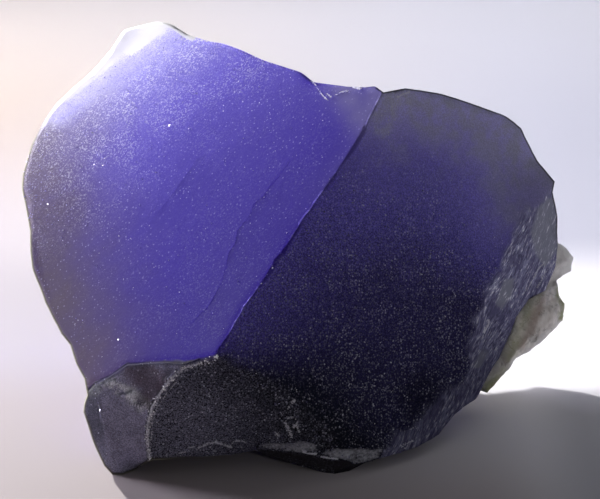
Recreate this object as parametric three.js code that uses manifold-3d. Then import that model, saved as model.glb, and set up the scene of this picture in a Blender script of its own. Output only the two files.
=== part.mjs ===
// A broken hand specimen of blue-violet fluorite with a crust of pale matrix on its back.
// Millimetres, +Z up, standing on the table at z = 0, its nose turned to -Y.
//
// The front is a corner of one large cube: an upper, a right and a lower face that meet at the nose.
// Its corners are sighted from the front. Each is given as millimetres right of and above the middle
// of a picture plane that leans back, and as how far the corner lies behind that plane.

import * as THREE from "three";
import Module from "manifold-3d";

const wasm = await Module();
wasm.setup();

// The view from which the corners are sighted
const LEAN = THREE.MathUtils.degToRad(20);
const EYE = 450;
const TABLE_DROP = 36.8;

// The longest side that a triangle may have at the front, and how much longer per mm further back
const LONGEST_SIDE = 3.0;
const SIDE_GROWTH = 0.03;

// The joint between the two minerals
const CONTACT_GAP = 0.3;
const NOISE_SEED = 17;

// How many times the broken surfaces are eased
const WEATHERING = 3;

// The nose, where the three cube faces meet
const NOSE = { right: -11.6, up: -14.8, back: 4 };

// How many mm each face falls back for every mm right and every mm up
const FACES = {
  upper: { right: -0.855, up: 0.895 },
  front: { right: 0.668, up: -0.066 },
  lower: { right: 0.05, up: -0.8 },
};

// How rough each kind of surface is: the mm that the noise may lift it
const ROUGH = { growth: 0.12, edge: 0.3, etched: 0.45, flank: 0.9, broken: 1.5, table: 0 };

const SIN = Math.sin(LEAN);
const COS = Math.cos(LEAN);

const corner = (right, up, back, rough) => ({ right, up, back, rough });

const corners = (list, rough) => list.map(([right, up, back]) => corner(right, up, back, rough));

// Corners on one cube face, with an optional third number that lifts them off it towards the viewer.
function onFace(name, list, rough) {
  const { right: byRight, up: byUp } = FACES[name];
  return list.map(([right, up, lift = 0]) => {
    const back = NOSE.back + byRight * (right - NOSE.right) + byUp * (up - NOSE.up);
    return corner(right, up, back - lift, rough);
  });
}

// Corners where the line of sight meets the table.
function onTable(list) {
  return list.map(([right, up]) => {
    const back = (TABLE_DROP + up * COS) / (SIN - (up * COS) / EYE);
    return corner(right, up, back, ROUGH.table);
  });
}

// Corners given by their place in the part's own frame.
function placed(list, rough) {
  return list.map(([x, y, z]) => {
    const height = z - TABLE_DROP;
    const back = y * COS - height * SIN;
    const grow = 1 + back / EYE;
    return corner(x / grow, (y * SIN + height * COS) / grow, back, z === 0 ? ROUGH.table : rough);
  });
}

// A sighted corner's place in the part's own frame.
function toPart({ right, up, back }) {
  const grow = 1 + back / EYE;
  const rise = up * grow;
  return new THREE.Vector3(right * grow, rise * SIN + back * COS, rise * COS - back * SIN + TABLE_DROP);
}

// Smooth noise from -1 to 1, from a fixed hash of the lattice points around a place.
function latticeValue(i, j, k) {
  let h = Math.imul(i, 374761393) ^ Math.imul(j, 668265263) ^ Math.imul(k, 2147483647);
  h = Math.imul(h ^ NOISE_SEED ^ (h >>> 13), 1274126177);
  return (((h ^ (h >>> 16)) >>> 0) / 4294967295) * 2 - 1;
}

function noise(x, y, z) {
  const [i, j, k] = [x, y, z].map(Math.floor);
  const [a, b, c] = [x - i, y - j, z - k].map((t) => t * t * (3 - 2 * t));
  const mix = THREE.MathUtils.lerp;
  const row = (dj, dk) => mix(latticeValue(i, j + dj, k + dk), latticeValue(i + 1, j + dj, k + dk), a);
  return mix(mix(row(0, 0), row(1, 0), b), mix(row(0, 1), row(1, 1), b), c);
}

// Three octaves of noise at a place, with lumps of the given size.
function lumps(p, size) {
  let sum = 0;
  for (const [share, scale] of [[0.55, 1], [0.3, 2.1], [0.15, 4.3]]) {
    sum += share * noise((p.x * scale) / size, (p.y * scale) / size, (p.z * scale) / size);
  }
  return sum;
}

const twiceArea = (a, b, c) =>
  (b.right - a.right) * (c.up - a.up) - (c.right - a.right) * (b.up - a.up);

// Whether d lies inside the circle through a, b and c, which turn anticlockwise.
function insideCircle(a, b, c, d) {
  const rows = [a, b, c].map((p) => [p.right - d.right, p.up - d.up]);
  const [p, q, r] = rows.map(([x, y]) => [x, y, x * x + y * y]);
  const det =
    p[0] * (q[1] * r[2] - r[1] * q[2]) - q[0] * (p[1] * r[2] - r[1] * p[2]) + r[0] * (p[1] * q[2] - q[1] * p[2]);
  return det > 1e-7;
}

// Swaps the diagonals of pairs of triangles until none is long and thin where it need not be.
function flipDiagonals(points, triangles) {
  for (let changed = true; changed; ) {
    changed = false;
    const owner = new Map();
    triangles.forEach((t, n) => t.forEach((a, i) => owner.set(a + "," + t[(i + 1) % 3], [n, i])));
    for (const [key, [n, i]] of owner) {
      const [a, b] = key.split(",").map(Number);
      const other = owner.get(b + "," + a);
      if (!other) continue;
      const c = triangles[n][(i + 2) % 3];
      const d = triangles[other[0]][(other[1] + 2) % 3];
      const [pa, pb, pc, pd] = [a, b, c, d].map((v) => points[v]);
      if (!insideCircle(pa, pb, pc, pd) || twiceArea(pa, pd, pc) <= 0 || twiceArea(pd, pb, pc) <= 0) continue;
      triangles[n] = [a, d, c];
      triangles[other[0]] = [d, b, c];
      changed = true;
      break;
    }
  }
}

// Triangles over an outline and the corners inside it, in the picture plane.
function sheet(outline, inner) {
  const points = [...outline, ...inner];
  const flat = outline.map((p) => new THREE.Vector2(p.right, p.up));
  const triangles = THREE.ShapeUtils.triangulateShape(flat, []);
  triangles.forEach((t) => twiceArea(...t.map((v) => points[v])) < 0 && t.reverse());
  for (let v = outline.length; v < points.length; v++) {
    const holder = triangles.findIndex((t) =>
      t.every((a, i) => twiceArea(points[a], points[t[(i + 1) % 3]], points[v]) >= 0),
    );
    if (holder < 0) throw new Error("a corner lies outside the outline: " + JSON.stringify(points[v]));
    const [[a, b, c]] = triangles.splice(holder, 1);
    triangles.push([a, b, v], [b, c, v], [c, a, v]);
    flipDiagonals(points, triangles);
  }
  return triangles;
}

// The sides of a sheet's triangles that join two corners of the outline across it.
function chords(triangles, outlineLength) {
  const keys = triangles.flatMap((t) => t.map((a, i) => [a, t[(i + 1) % 3]].sort((p, q) => p - q)));
  const across = keys.filter(([a, b]) => b < outlineLength && b - a > 1 && b - a < outlineLength - 1);
  return new Set(across.map((key) => key.join()));
}

// A closed body from a front and a back sheet that share one outline.
function closedBody(outline, front, back) {
  const n = outline.length;
  const shift = (v) => (v < n ? v : v + front.length);
  const sheets = [sheet(outline, front), sheet(outline, back)];
  const [frontChords, backChords] = sheets.map((list) => chords(list, n));
  const pinched = [...frontChords].filter((key) => backChords.has(key));
  if (pinched.length) {
    const where = pinched.map((key) => key.split(",").map((v) => [outline[v].right, outline[v].up]).join(" to "));
    throw new Error("both sheets cross the outline from " + where.join("; from "));
  }
  const triangles = [...sheets[0], ...sheets[1].map(([a, b, c]) => [shift(a), shift(c), shift(b)])];
  const all = [...outline, ...front, ...back];
  return { points: all.map(toPart), rough: all.map((p) => p.rough), triangles };
}

// Halves every side that is too long, in both of its triangles, until none is left.
function refine(body) {
  const { points, rough } = body;
  const limit = (a, b) => LONGEST_SIDE + SIDE_GROWTH * Math.max(0, (a.y + b.y) / 2);
  for (let split = true; split; ) {
    split = false;
    const middles = new Map();
    const middle = (a, b) => {
      const key = Math.min(a, b) + "," + Math.max(a, b);
      if (!middles.has(key)) {
        const long = points[a].distanceTo(points[b]) > limit(points[a], points[b]);
        if (long) {
          points.push(points[a].clone().lerp(points[b], 0.5));
          rough.push((rough[a] + rough[b]) / 2);
          split = true;
        }
        middles.set(key, long ? points.length - 1 : -1);
      }
      return middles.get(key);
    };
    body.triangles = body.triangles.flatMap((t) => {
      const m = t.map((a, i) => middle(a, t[(i + 1) % 3]));
      const cut = m.filter((v) => v >= 0).length;
      if (cut === 0) return [t];
      if (cut === 3) return [[t[0], m[0], m[2]], [m[0], t[1], m[1]], [m[2], m[1], t[2]], m];
      // Turned so that its first side is cut and, with two cuts, its second side too.
      const turn = [0, 1, 2].find((i) => m[i] >= 0 && (cut === 1 || m[(i + 1) % 3] >= 0));
      const [a, b, c] = [0, 1, 2].map((i) => t[(turn + i) % 3]);
      const [ab, bc] = [m[turn], m[(turn + 1) % 3]];
      if (cut === 1) return [[a, ab, c], [ab, b, c]];
      return [[ab, b, bc], [a, ab, bc], [a, bc, c]];
    });
  }
  return body;
}

function normals({ points, triangles }) {
  const sums = points.map(() => new THREE.Vector3());
  for (const [a, b, c] of triangles) {
    const side = points[b].clone().sub(points[a]);
    const face = side.cross(points[c].clone().sub(points[a]));
    [a, b, c].forEach((v) => sums[v].add(face));
  }
  return sums.map((s) => s.normalize());
}

// Moves every point along its normal by what lift(point, roughness) gives.
function displace(body, lift) {
  const out = normals(body);
  const moved = body.points.map((p, v) => lift(p, body.rough[v]));
  body.points.forEach((p, v) => p.addScaledVector(out[v], moved[v]));
  return body;
}

// Eases the broken surfaces: each of their points moves part of the way to the mean of its neighbours.
function weather({ points, rough, triangles }) {
  const around = points.map(() => new Set());
  triangles.forEach((t) => t.forEach((a, i) => around[a].add(t[(i + 1) % 3]).add(t[(i + 2) % 3])));
  for (let round = 0; round < WEATHERING; round++) {
    const means = around.map((set) => {
      const mean = new THREE.Vector3();
      set.forEach((v) => mean.add(points[v]));
      return mean.divideScalar(set.size);
    });
    points.forEach((p, v) => p.lerp(means[v], 0.5 * THREE.MathUtils.smoothstep(rough[v], 0.5, 1.2)));
  }
}

function geometryOf({ points, triangles }) {
  const geometry = new THREE.BufferGeometry().setFromPoints(points);
  geometry.setIndex(triangles.flat());
  return geometry;
}

function solidOf({ points, triangles }) {
  const vertProperties = new Float32Array(points.flatMap((p) => p.toArray()));
  const triVerts = new Uint32Array(triangles.flat());
  return new wasm.Manifold(new wasm.Mesh({ numProp: 3, vertProperties, triVerts }));
}

function geometryOfSolid(solid) {
  const { vertProperties, triVerts } = solid.getMesh();
  const geometry = new THREE.BufferGeometry();
  geometry.setAttribute("position", new THREE.BufferAttribute(vertProperties, 3));
  geometry.setIndex(new THREE.BufferAttribute(triVerts, 1));
  return geometry;
}

// The crystal's outline, clockwise from the notch above the long edge
const brow = onFace(
  "front",
  [[11.7, 22.0], [14.7, 22.6], [19.7, 21.8], [25.1, 20.0], [29.0, 18.7], [31.0, 17.0], [33.3, 12.5], [35.7, 9.5]],
  ROUGH.edge,
);
const flankEdge = corners(
  [
    [35.4, 8.0, 34.5], [36.1, 4.6, 37], [36.1, 0.5, 39.5], [35.8, -2.4, 41], [34.3, -5.7, 41],
    [32.0, -7.0, 40], [30.2, -9.4, 38.5], [29.3, -12.1, 37.5], [28.1, -15.3, 36], [26.3, -17.9, 34],
    [24.6, -20.7, 31], [22.7, -22.0, 29], [21.4, -23.2, 27.5], [19.5, -25.9, 25.5], [16.4, -27.7, 22.5],
    [12.4, -29.0, 19.5], [9.2, -29.9, 18.5],
  ],
  ROUGH.etched,
);
const toe = onTable([[6.9, -31.0], [4.9, -31.4], [3.2, -31.2]]);
const arch = corners(
  [
    [0.8, -30.5, 18.3], [-1.5, -29.9, 18.6], [-4.1, -28.9, 19], [-6.3, -28.0, 19], [-9.5, -28.6, 18],
    [-12.6, -28.8, 17.5], [-15.7, -29.0, 16.5], [-18.2, -29.4, 15.5], [-21.0, -29.6, 14.8],
  ],
  ROUGH.etched,
);
const heel = onTable([[-23.4, -31.0], [-24.8, -31.5], [-26.3, -31.5]]);
const blockEdge = corners(
  [[-27.4, -30.3, 17.4], [-29.0, -27.0, 16.8], [-30.3, -22.8, 15.8], [-30.3, -21.4, 15.4], [-29.8, -20.4, 15]],
  ROUGH.edge,
);
const leftEdge = onFace(
  "upper",
  [
    [-30.2, -18.1], [-31.3, -16.0], [-32.1, -13.4], [-33.4, -11.8], [-35.7, -7.5], [-37.4, -2.7], [-37.9, 2.6],
    [-39.0, 8.5], [-38.8, 10.5], [-37.6, 14.6], [-36.0, 17.9], [-34.1, 20.4],
  ],
  ROUGH.edge,
);
const peak = onFace(
  "upper",
  [
    [-31.5, 22.8], [-29.2, 24.8], [-26.3, 28.0], [-24.6, 30.7], [-22.3, 31.3], [-19.9, 31.9], [-18.1, 31.6],
    [-15.5, 29.9], [-13.0, 29.1],
  ],
  ROUGH.edge,
);
const topEdge = onFace(
  "upper",
  [
    [-10.6, 28.8], [-8.0, 27.8], [-5.0, 26.5], [-1.9, 25.5], [0.2, 24.8], [1.9, 23.5, -0.6], [4.6, 23.1, -1],
    [6.7, 22.8, -1], [9.1, 22.7, -0.5], [10.5, 22.9],
  ],
  ROUGH.edge,
);
const outline = [...brow, ...flankEdge, ...toe, ...arch, ...heel, ...blockEdge, ...leftEdge, ...peak, ...topEdge].reverse();

// The edges between the faces
const longEdge = onFace(
  "front",
  [
    [10.2, 19.4], [9.0, 16.3], [7.4, 13.8], [5.6, 11.2], [3.5, 8.5], [1.1, 5.0], [-0.8, 2.1], [-2.5, -1.0],
    [-4.4, -3.6], [-6.2, -5.9], [-7.7, -7.9], [-9.0, -10.3], [-10.4, -12.7], [NOSE.right, NOSE.up],
  ],
  ROUGH.growth,
);
const keel = onFace("front", [[-8.9, -15.6], [-6.2, -17.1], [-3.4, -19.1], [-0.6, -21.3], [2.1, -23.7], [4.4, -26.0]], ROUGH.edge);
const ledge = onFace(
  "upper",
  [
    [-14.2, -15.4], [-16.4, -15.9], [-18.6, -15.7], [-21.1, -15.8], [-24.2, -16.1], [-26.5, -17.7], [-28.5, -18.6],
  ],
  ROUGH.growth,
);
// The small block's top edge stands in front of the upper face and hides the ledge behind it
const blockTop = onFace(
  "upper",
  [
    [-16.4, -16.1, 1.7], [-18.6, -15.9, 2.8], [-21.1, -16.0, 3.6], [-24.2, -16.3, 3.8], [-26.5, -17.9, 3.0],
    [-28.4, -18.8, 2.1],
  ],
  ROUGH.growth,
);
const blockRidge = corners(
  [
    [-17.5, -17.6, 5.5], [-19.3, -19.7, 7], [-20.7, -22.0, 8.7], [-21.3, -24.4, 10.4], [-21.3, -27.2, 12.6],
  ],
  ROUGH.edge,
);
const flankRidge = onFace(
  "front",
  [
    [33.5, 6.6], [31.0, 4.2], [29.8, 1.9], [28.7, -0.8], [27.5, -3.6], [26.2, -6.5], [24.8, -9.4],
    [24.0, -12.2], [23.6, -15.2], [22.9, -18.2], [20.6, -19.9], [18.6, -22.0], [16.4, -24.4], [13.4, -26.0],
  ],
  ROUGH.edge,
);

// Two growth steps down the upper face, each a brow and the foot that lies below it, a chipped top edge,
// and the places where the faces bow a little
const growthBrow = onFace(
  "upper",
  [
    [0.1, 13.4, 0.12], [-2.7, 11.3, 0.2], [-4.1, 9.0, 0.25], [-7.0, 4.8, 0.25], [-8.7, 1.3, 0.25], [-10.1, -1.8, 0.25],
    [-10.9, -4.7, 0.25], [-12.6, -7.1, 0.25], [-14.4, -10.0, 0.2], [-16.2, -13.0, 0.12],
  ],
  ROUGH.growth,
);
const growthFoot = onFace(
  "upper",
  [
    [0.9, 12.9], [-2.0, 10.8], [-3.4, 8.6], [-6.3, 4.4], [-8.0, 1.0], [-9.4, -2.1], [-10.2, -4.9], [-11.9, -7.4],
    [-13.7, -10.4], [-15.5, -13.3],
  ],
  ROUGH.growth,
);
const leftStep = onFace(
  "upper",
  [
    [-12.8, 13.9, 0.5], [-15.0, 11.8, 0.6], [-18.6, 6.8, 0.65], [-21.4, 3.4, 0.6], [-12.2, 13.2, 0.4], [-14.3, 11.1, 0.4],
    [-17.9, 6.2, 0.45], [-20.9, 2.6, 0.5],
  ],
  ROUGH.growth,
);
const chippedTop = onFace("upper", [[3.4, 21.6, 0.2], [5.4, 21.4, 0.2], [7.6, 21.9, 0.1]], ROUGH.edge);
const upperBow = onFace(
  "upper",
  [
    [1.6, 16.8], [4.8, 17.9], [-1.8, 19.2, 0.1], [-7.0, 19.4, 0.3], [-12.6, 22.6, 0.4], [-19.5, 18.5, 0.7],
    [-25.5, 12.5, 0.75], [-30.0, 7.5, 0.7], [-28.5, -1.0, 0.6], [-22.5, -4.0, 0.5], [-16.0, -3.0, 0.4],
    [-12.0, 6.5, 0.35], [-25.5, -9.8, 0.4], [-19.5, -10.6, 0.35], [-29.6, 15.6, 0.7], [-24.0, 23.6, 0.5],
    [-17.5, 26.0, 0.4], [-32.8, 1.0, 0.5], [-24.0, 29.3, 0.2],
  ],
  ROUGH.growth,
);
const frontBow = onFace(
  "front",
  [
    [15.5, 18.0, 0.3], [21.5, 16.0, 0.5], [27.5, 12.5, 0.6], [29.5, 8.0, 0.5], [12.5, 11.5, 0.6], [18.5, 8.5, 0.9],
    [24.5, 4.0, 0.8], [8.0, 3.5, 0.8], [15.0, 1.0, 1], [22.0, -3.0, 0.8], [3.0, -3.5, 0.8], [10.0, -6.5, 1],
    [17.5, -10.0, 0.9], [-2.0, -9.0, 0.6], [4.5, -12.5, 0.9], [12.0, -14.5, 0.9], [19.0, -15.5, 0.6],
    [-4.5, -13.5, 0.4], [1.0, -17.5, 0.6], [7.5, -20.5, 0.6], [13.5, -20.5, 0.5], [8.5, -25.0, 0.3],
  ],
  ROUGH.growth,
);
const lowerBow = corners(
  [
    [-12.5, -19.5, 8], [-7.5, -20.0, 9], [-15.5, -22.5, 9.5], [-9.5, -24.0, 12], [-3.0, -24.0, 12.5],
    [-17.2, -26.0, 12.4], [-12.0, -26.8, 14.8], [-6.0, -26.2, 15.4], [0.8, -26.4, 14.4],
  ],
  ROUGH.etched,
);
const blockFace = corners(
  [
    [-22.4, -19.4, 8.9], [-25.2, -20.6, 11.0], [-28.0, -22.2, 13.0], [-24.2, -23.8, 12], [-27.2, -25.8, 14],
    [-23.6, -27.6, 13.8], [-25.6, -29.2, 15.6],
  ],
  ROUGH.edge,
);

// The broken flank on the right, and the chips along the foot
const flankBand = corners(
  [
    [34.6, 4.6, 35.6], [33.6, 0.8, 36], [33.4, -2.8, 37.8], [31.0, -3.4, 35.2], [29.6, -7.2, 35.4],
    [27.4, -10.6, 33.6], [26.4, -14.6, 33], [24.9, -18.2, 31], [22.0, -21.1, 27.6], [18.4, -24.4, 23.8], [15.0, -26.8, 21.4],
  ],
  ROUGH.flank,
);
const footChips = corners(
  [
    [-5.0, -27.2, 15.6], [-1.7, -27.0, 15.0], [1.8, -27.3, 15.4], [4.2, -28.0, 16.6], [6.4, -27.6, 16.2], [10.6, -28.0, 17.8],
    [1.8, -28.8, 16.4], [6.2, -29.3, 17],
  ],
  ROUGH.edge,
);

// The foot, flat on the table, the hollow in front of it, and the broken back
const foot = placed(
  [
    [-26.5, 9, 0], [-27.5, 17, 0], [-27.5, 26, 0], [-25, 36, 0], [-19, 44, 0], [-10, 48, 0], [1, 48, 0],
    [11, 46, 0], [17, 38, 0], [19, 28, 0], [17, 18, 0], [12, 12, 0], [-20, 13.5, 0], [-12, 15, 0], [-3, 14, 0], [5, 11, 0],
    [-16, 24, 0], [-2, 26, 0], [8, 26, 0], [-12, 36, 0], [4, 38, 0],
  ],
  ROUGH.table,
);
const hollow = placed(
  [[-17, 9.5, 2.6], [-11, 9.5, 3.2], [-4, 9.5, 3.0], [16, 13.5, 2.4], [21, 20, 3]],
  ROUGH.edge,
);
const brokenBack = placed(
  [
    [-31.5, 21, 11], [-35.5, 33, 15], [-33, 42, 9], [-38.5, 46, 21], [-30, 50, 17], [-34.5, 55, 29],
    [-24, 54, 9], [-22, 59, 24], [-27, 61, 38], [-17, 61, 40], [-9, 56, 28], [-8, 53, 12], [3, 55, 14],
    [5, 56, 27], [-6, 55, 39], [3, 51, 39], [9, 42, 43], [17, 37, 44], [19, 47, 37], [15, 52, 27],
    [14, 51, 10], [25, 51, 27], [28, 49, 12], [22, 44, 6], [25, 29, 5], [28, 43, 38.5], [32, 47, 33], [34, 48, 22],
    [31, 38, 9], [-13, 56.5, 46],
  ],
  ROUGH.broken,
);

// The crust's outline, clockwise from the top of its knob, and what lies inside it
const crustEdge = corners(
  [
    [36.0, 0.9, 44.5], [36.6, 0.5, 45], [37.4, -0.2, 45.5], [38.1, -1.2, 45.5], [37.8, -2.9, 45], [36.8, -3.4, 44],
    [35.7, -4.3, 43.5], [36.1, -6.4, 44], [37.0, -7.5, 44.5], [36.7, -9.9, 44.5], [35.4, -11.3, 43.5],
    [33.7, -13.2, 42], [31.9, -14.6, 41], [31.1, -14.8, 40.5], [30.0, -15.8, 40], [29.3, -17.0, 39],
    [27.7, -18.6, 38.5], [26.2, -20.0, 38], [22.5, -19.2, 39], [17.0, -16.5, 42], [10.0, -14.0, 45], [2.0, -11.5, 49],
    [-3.0, -6.0, 50], [-4.0, 1.0, 50], [0.0, 8.0, 48], [7.0, 12.5, 46], [14.0, 13.5, 44], [21.0, 13.5, 43],
    [28.0, 11.5, 42], [33.0, 8.0, 42], [35.2, 4.0, 43],
  ],
  ROUGH.etched,
).reverse();
const crustFront = corners(
  [
    [37.1, -1.4, 42.8], [36.0, -2.2, 42], [35.9, -8.4, 42.2], [34.2, -8.2, 41.4], [34.0, -11.0, 41], [31.8, -12.6, 39.4],
    [30.2, -14.6, 38.6], [28.2, -17.2, 37], [25.6, -19.1, 36.5], [31.0, -4.0, 38], [25.0, -8.0, 37], [20.0, -12.0, 38], [14.0, -3.0, 40],
    [21.0, 4.0, 38], [30.0, 4.0, 38], [4.0, -2.0, 42], [10.0, 6.0, 40],
  ],
  ROUGH.edge,
);
const crustBack = placed(
  [
    [30, 54, 31], [22, 56, 31], [12, 59, 29], [4, 60.5, 25], [33, 54.5, 21], [26, 59, 25], [28, 56.5, 14], [18, 60, 19],
    [9, 60, 14], [0, 59.5, 17], [14, 57, 8], [24, 56, 6], [32, 52, 8], [38, 47, 17.5], [36.5, 48.5, 12], [39, 45, 23],
    [4, 57.5, 10],
  ],
  ROUGH.broken,
);

const crystalFront = [
  longEdge, keel, ledge, blockTop, blockRidge, flankRidge, growthBrow, growthFoot, leftStep, chippedTop, upperBow,
  frontBow, lowerBow, blockFace, flankBand, footChips,
].flat();
const crystal = closedBody(outline, crystalFront, [...foot, ...hollow, ...brokenBack]);
const crust = closedBody(crustEdge, crustFront, crustBack);
for (const body of [crystal, crust]) {
  refine(body);
  weather(body);
  displace(body, (p, rough) => rough * lumps(p, 7) * THREE.MathUtils.clamp(p.z / 3, 0, 1));
}

function fluoriteCrystal() {
  const material = new THREE.MeshStandardMaterial({ color: 0x43389a, roughness: 0.5, metalness: 0 });
  const mesh = new THREE.Mesh(geometryOf(crystal), material);
  mesh.name = "fluorite_crystal";
  return mesh;
}

// The crust is what is left of its body outside the crystal, less the joint between them.
function paleMatrix() {
  const grown = { ...crystal, points: crystal.points.map((p) => p.clone()) };
  displace(grown, () => CONTACT_GAP);
  const pieces = solidOf(crust).subtract(solidOf(grown)).simplify(0.05).decompose();
  const largest = pieces.reduce((a, b) => (a.volume() > b.volume() ? a : b));
  const material = new THREE.MeshStandardMaterial({ color: 0xc9c8b4, roughness: 0.7, metalness: 0 });
  const mesh = new THREE.Mesh(geometryOfSolid(largest), material);
  mesh.name = "pale_matrix";
  return mesh;
}

const specimen = new THREE.Group();
specimen.add(fluoriteCrystal(), paleMatrix());

// The table stays at z = 0, and the middle of the specimen's footprint comes to the origin.
const middle = new THREE.Box3().setFromObject(specimen).getCenter(new THREE.Vector3());
specimen.children.forEach((mesh) => mesh.position.set(-middle.x, -middle.y, 0));

export default specimen;
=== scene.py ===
"""A broken hand specimen of blue-violet fluorite on a pale table, lit from behind and above."""

import math
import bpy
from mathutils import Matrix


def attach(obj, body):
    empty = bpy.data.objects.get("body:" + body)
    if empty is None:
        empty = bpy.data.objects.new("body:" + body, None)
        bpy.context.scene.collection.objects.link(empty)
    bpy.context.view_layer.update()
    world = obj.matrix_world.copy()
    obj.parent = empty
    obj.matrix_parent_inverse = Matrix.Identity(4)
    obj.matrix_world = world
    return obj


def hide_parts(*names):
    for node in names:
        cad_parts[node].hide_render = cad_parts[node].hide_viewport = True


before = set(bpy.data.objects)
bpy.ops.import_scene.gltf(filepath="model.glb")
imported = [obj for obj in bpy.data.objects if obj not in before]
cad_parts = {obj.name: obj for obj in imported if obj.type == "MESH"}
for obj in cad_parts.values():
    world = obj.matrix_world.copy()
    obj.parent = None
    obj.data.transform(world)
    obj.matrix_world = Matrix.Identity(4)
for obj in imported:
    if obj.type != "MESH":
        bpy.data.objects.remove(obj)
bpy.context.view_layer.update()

from types import SimpleNamespace

import bmesh
import bpy
import numpy as np
from mathutils import Matrix, Vector
from mathutils.kdtree import KDTree

bl_info = {
    "name": "Fluorite Specimen",
    "version": (1, 0, 0),
    "blender": (4, 5, 0),
    "location": "3D View > Sidebar > Fluorite",
    "description": "Builds a frosted fluorite crystal with its pale matrix on a table",
    "category": "Add Mesh",
}

MM = 0.001

# The viewer's place: the middle of the picture plane, its lean, and how far off the eye is
PLANE_MIDDLE = (0.000487, -0.031421, 0.0368)
LEAN = math.radians(20.0)
EYE = 0.45
EYE_PLACE = np.array(PLANE_MIDDLE) + EYE * np.array([0, -math.cos(LEAN), math.sin(LEAN)])
FRAME_WIDTH = 0.084

# The lines that part the crystal's faces. All lines and outlines here are in mm right of and above the
# middle of the picture plane
LONG_EDGE = [
    (11.7, 22.6), (10.2, 19.4), (9.0, 16.3), (7.4, 13.8), (5.6, 11.2), (3.5, 8.5), (1.1, 5.0),
    (-0.8, 2.1), (-2.5, -1.0), (-4.4, -3.6), (-6.2, -5.9), (-7.7, -7.9), (-9.0, -10.3), (-10.4, -12.7),
    (-11.6, -14.8),
]
LEDGE = [
    (-11.6, -14.8), (-14.2, -15.4), (-16.4, -15.9), (-18.6, -15.7), (-21.1, -15.8), (-24.2, -16.1),
    (-26.5, -17.7), (-28.5, -18.6), (-30.4, -20.4),
]
KEEL = [
    (-11.6, -14.8), (-8.9, -15.6), (-6.2, -17.1), (-3.4, -19.1), (-0.6, -21.3), (2.1, -23.7),
    (4.4, -26.0), (5.0, -32.0),
]
BLOCK_RIDGE = [
    (-11.6, -15.1), (-13.7, -15.9), (-16.1, -16.5), (-17.5, -17.6), (-19.3, -19.7), (-20.7, -22.0),
    (-21.3, -24.4), (-21.3, -27.2), (-21.0, -29.9),
]
FLANK_EDGE = [
    (36.5, 9.0), (33.5, 6.6), (31.0, 4.2), (29.8, 1.9), (28.7, -0.8), (27.5, -3.6), (26.2, -6.5),
    (24.8, -9.4), (24.0, -12.2), (23.6, -15.2), (22.9, -18.2), (20.6, -19.9), (18.6, -22.0),
    (16.4, -24.4), (13.4, -26.0), (10.0, -31.0),
]
BROW = [
    (11.7, 22.3), (14.7, 22.6), (19.7, 21.8), (25.1, 20.0), (29.0, 18.7), (31.0, 17.0), (33.3, 12.5),
    (35.7, 9.5), (36.2, 5.0),
]
LEFT_RIM = [
    (-34.1, 20.4), (-36.0, 17.9), (-37.6, 14.6), (-38.8, 10.5), (-39.0, 8.5), (-37.9, 2.6),
    (-37.4, -2.7), (-35.7, -7.5), (-33.4, -11.8), (-32.1, -13.4), (-31.3, -16.0), (-30.2, -18.1),
    (-29.8, -20.4), (-30.3, -21.4), (-30.3, -22.8), (-29.0, -27.0), (-27.4, -30.3),
]
GROWTH_STEP = [
    (-0.1, 13.5), (-1.8, 11.9), (-3.4, 9.8), (-4.1, 9.0), (-5.1, 7.5), (-6.5, 6.4), (-6.8, 5.3),
    (-7.4, 4.1), (-7.9, 3.8), (-8.8, 2.6), (-9.0, 1.0), (-10.0, -0.5), (-10.3, -2.0), (-10.8, -3.9),
    (-11.4, -5.4), (-12.2, -6.9), (-13.0, -8.2), (-14.2, -9.2), (-15.4, -10.6), (-16.2, -13.0),
]
LEFT_STEP = [(-12.8, 13.9), (-15.0, 11.8), (-18.6, 6.8), (-21.4, 3.4)]

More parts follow.
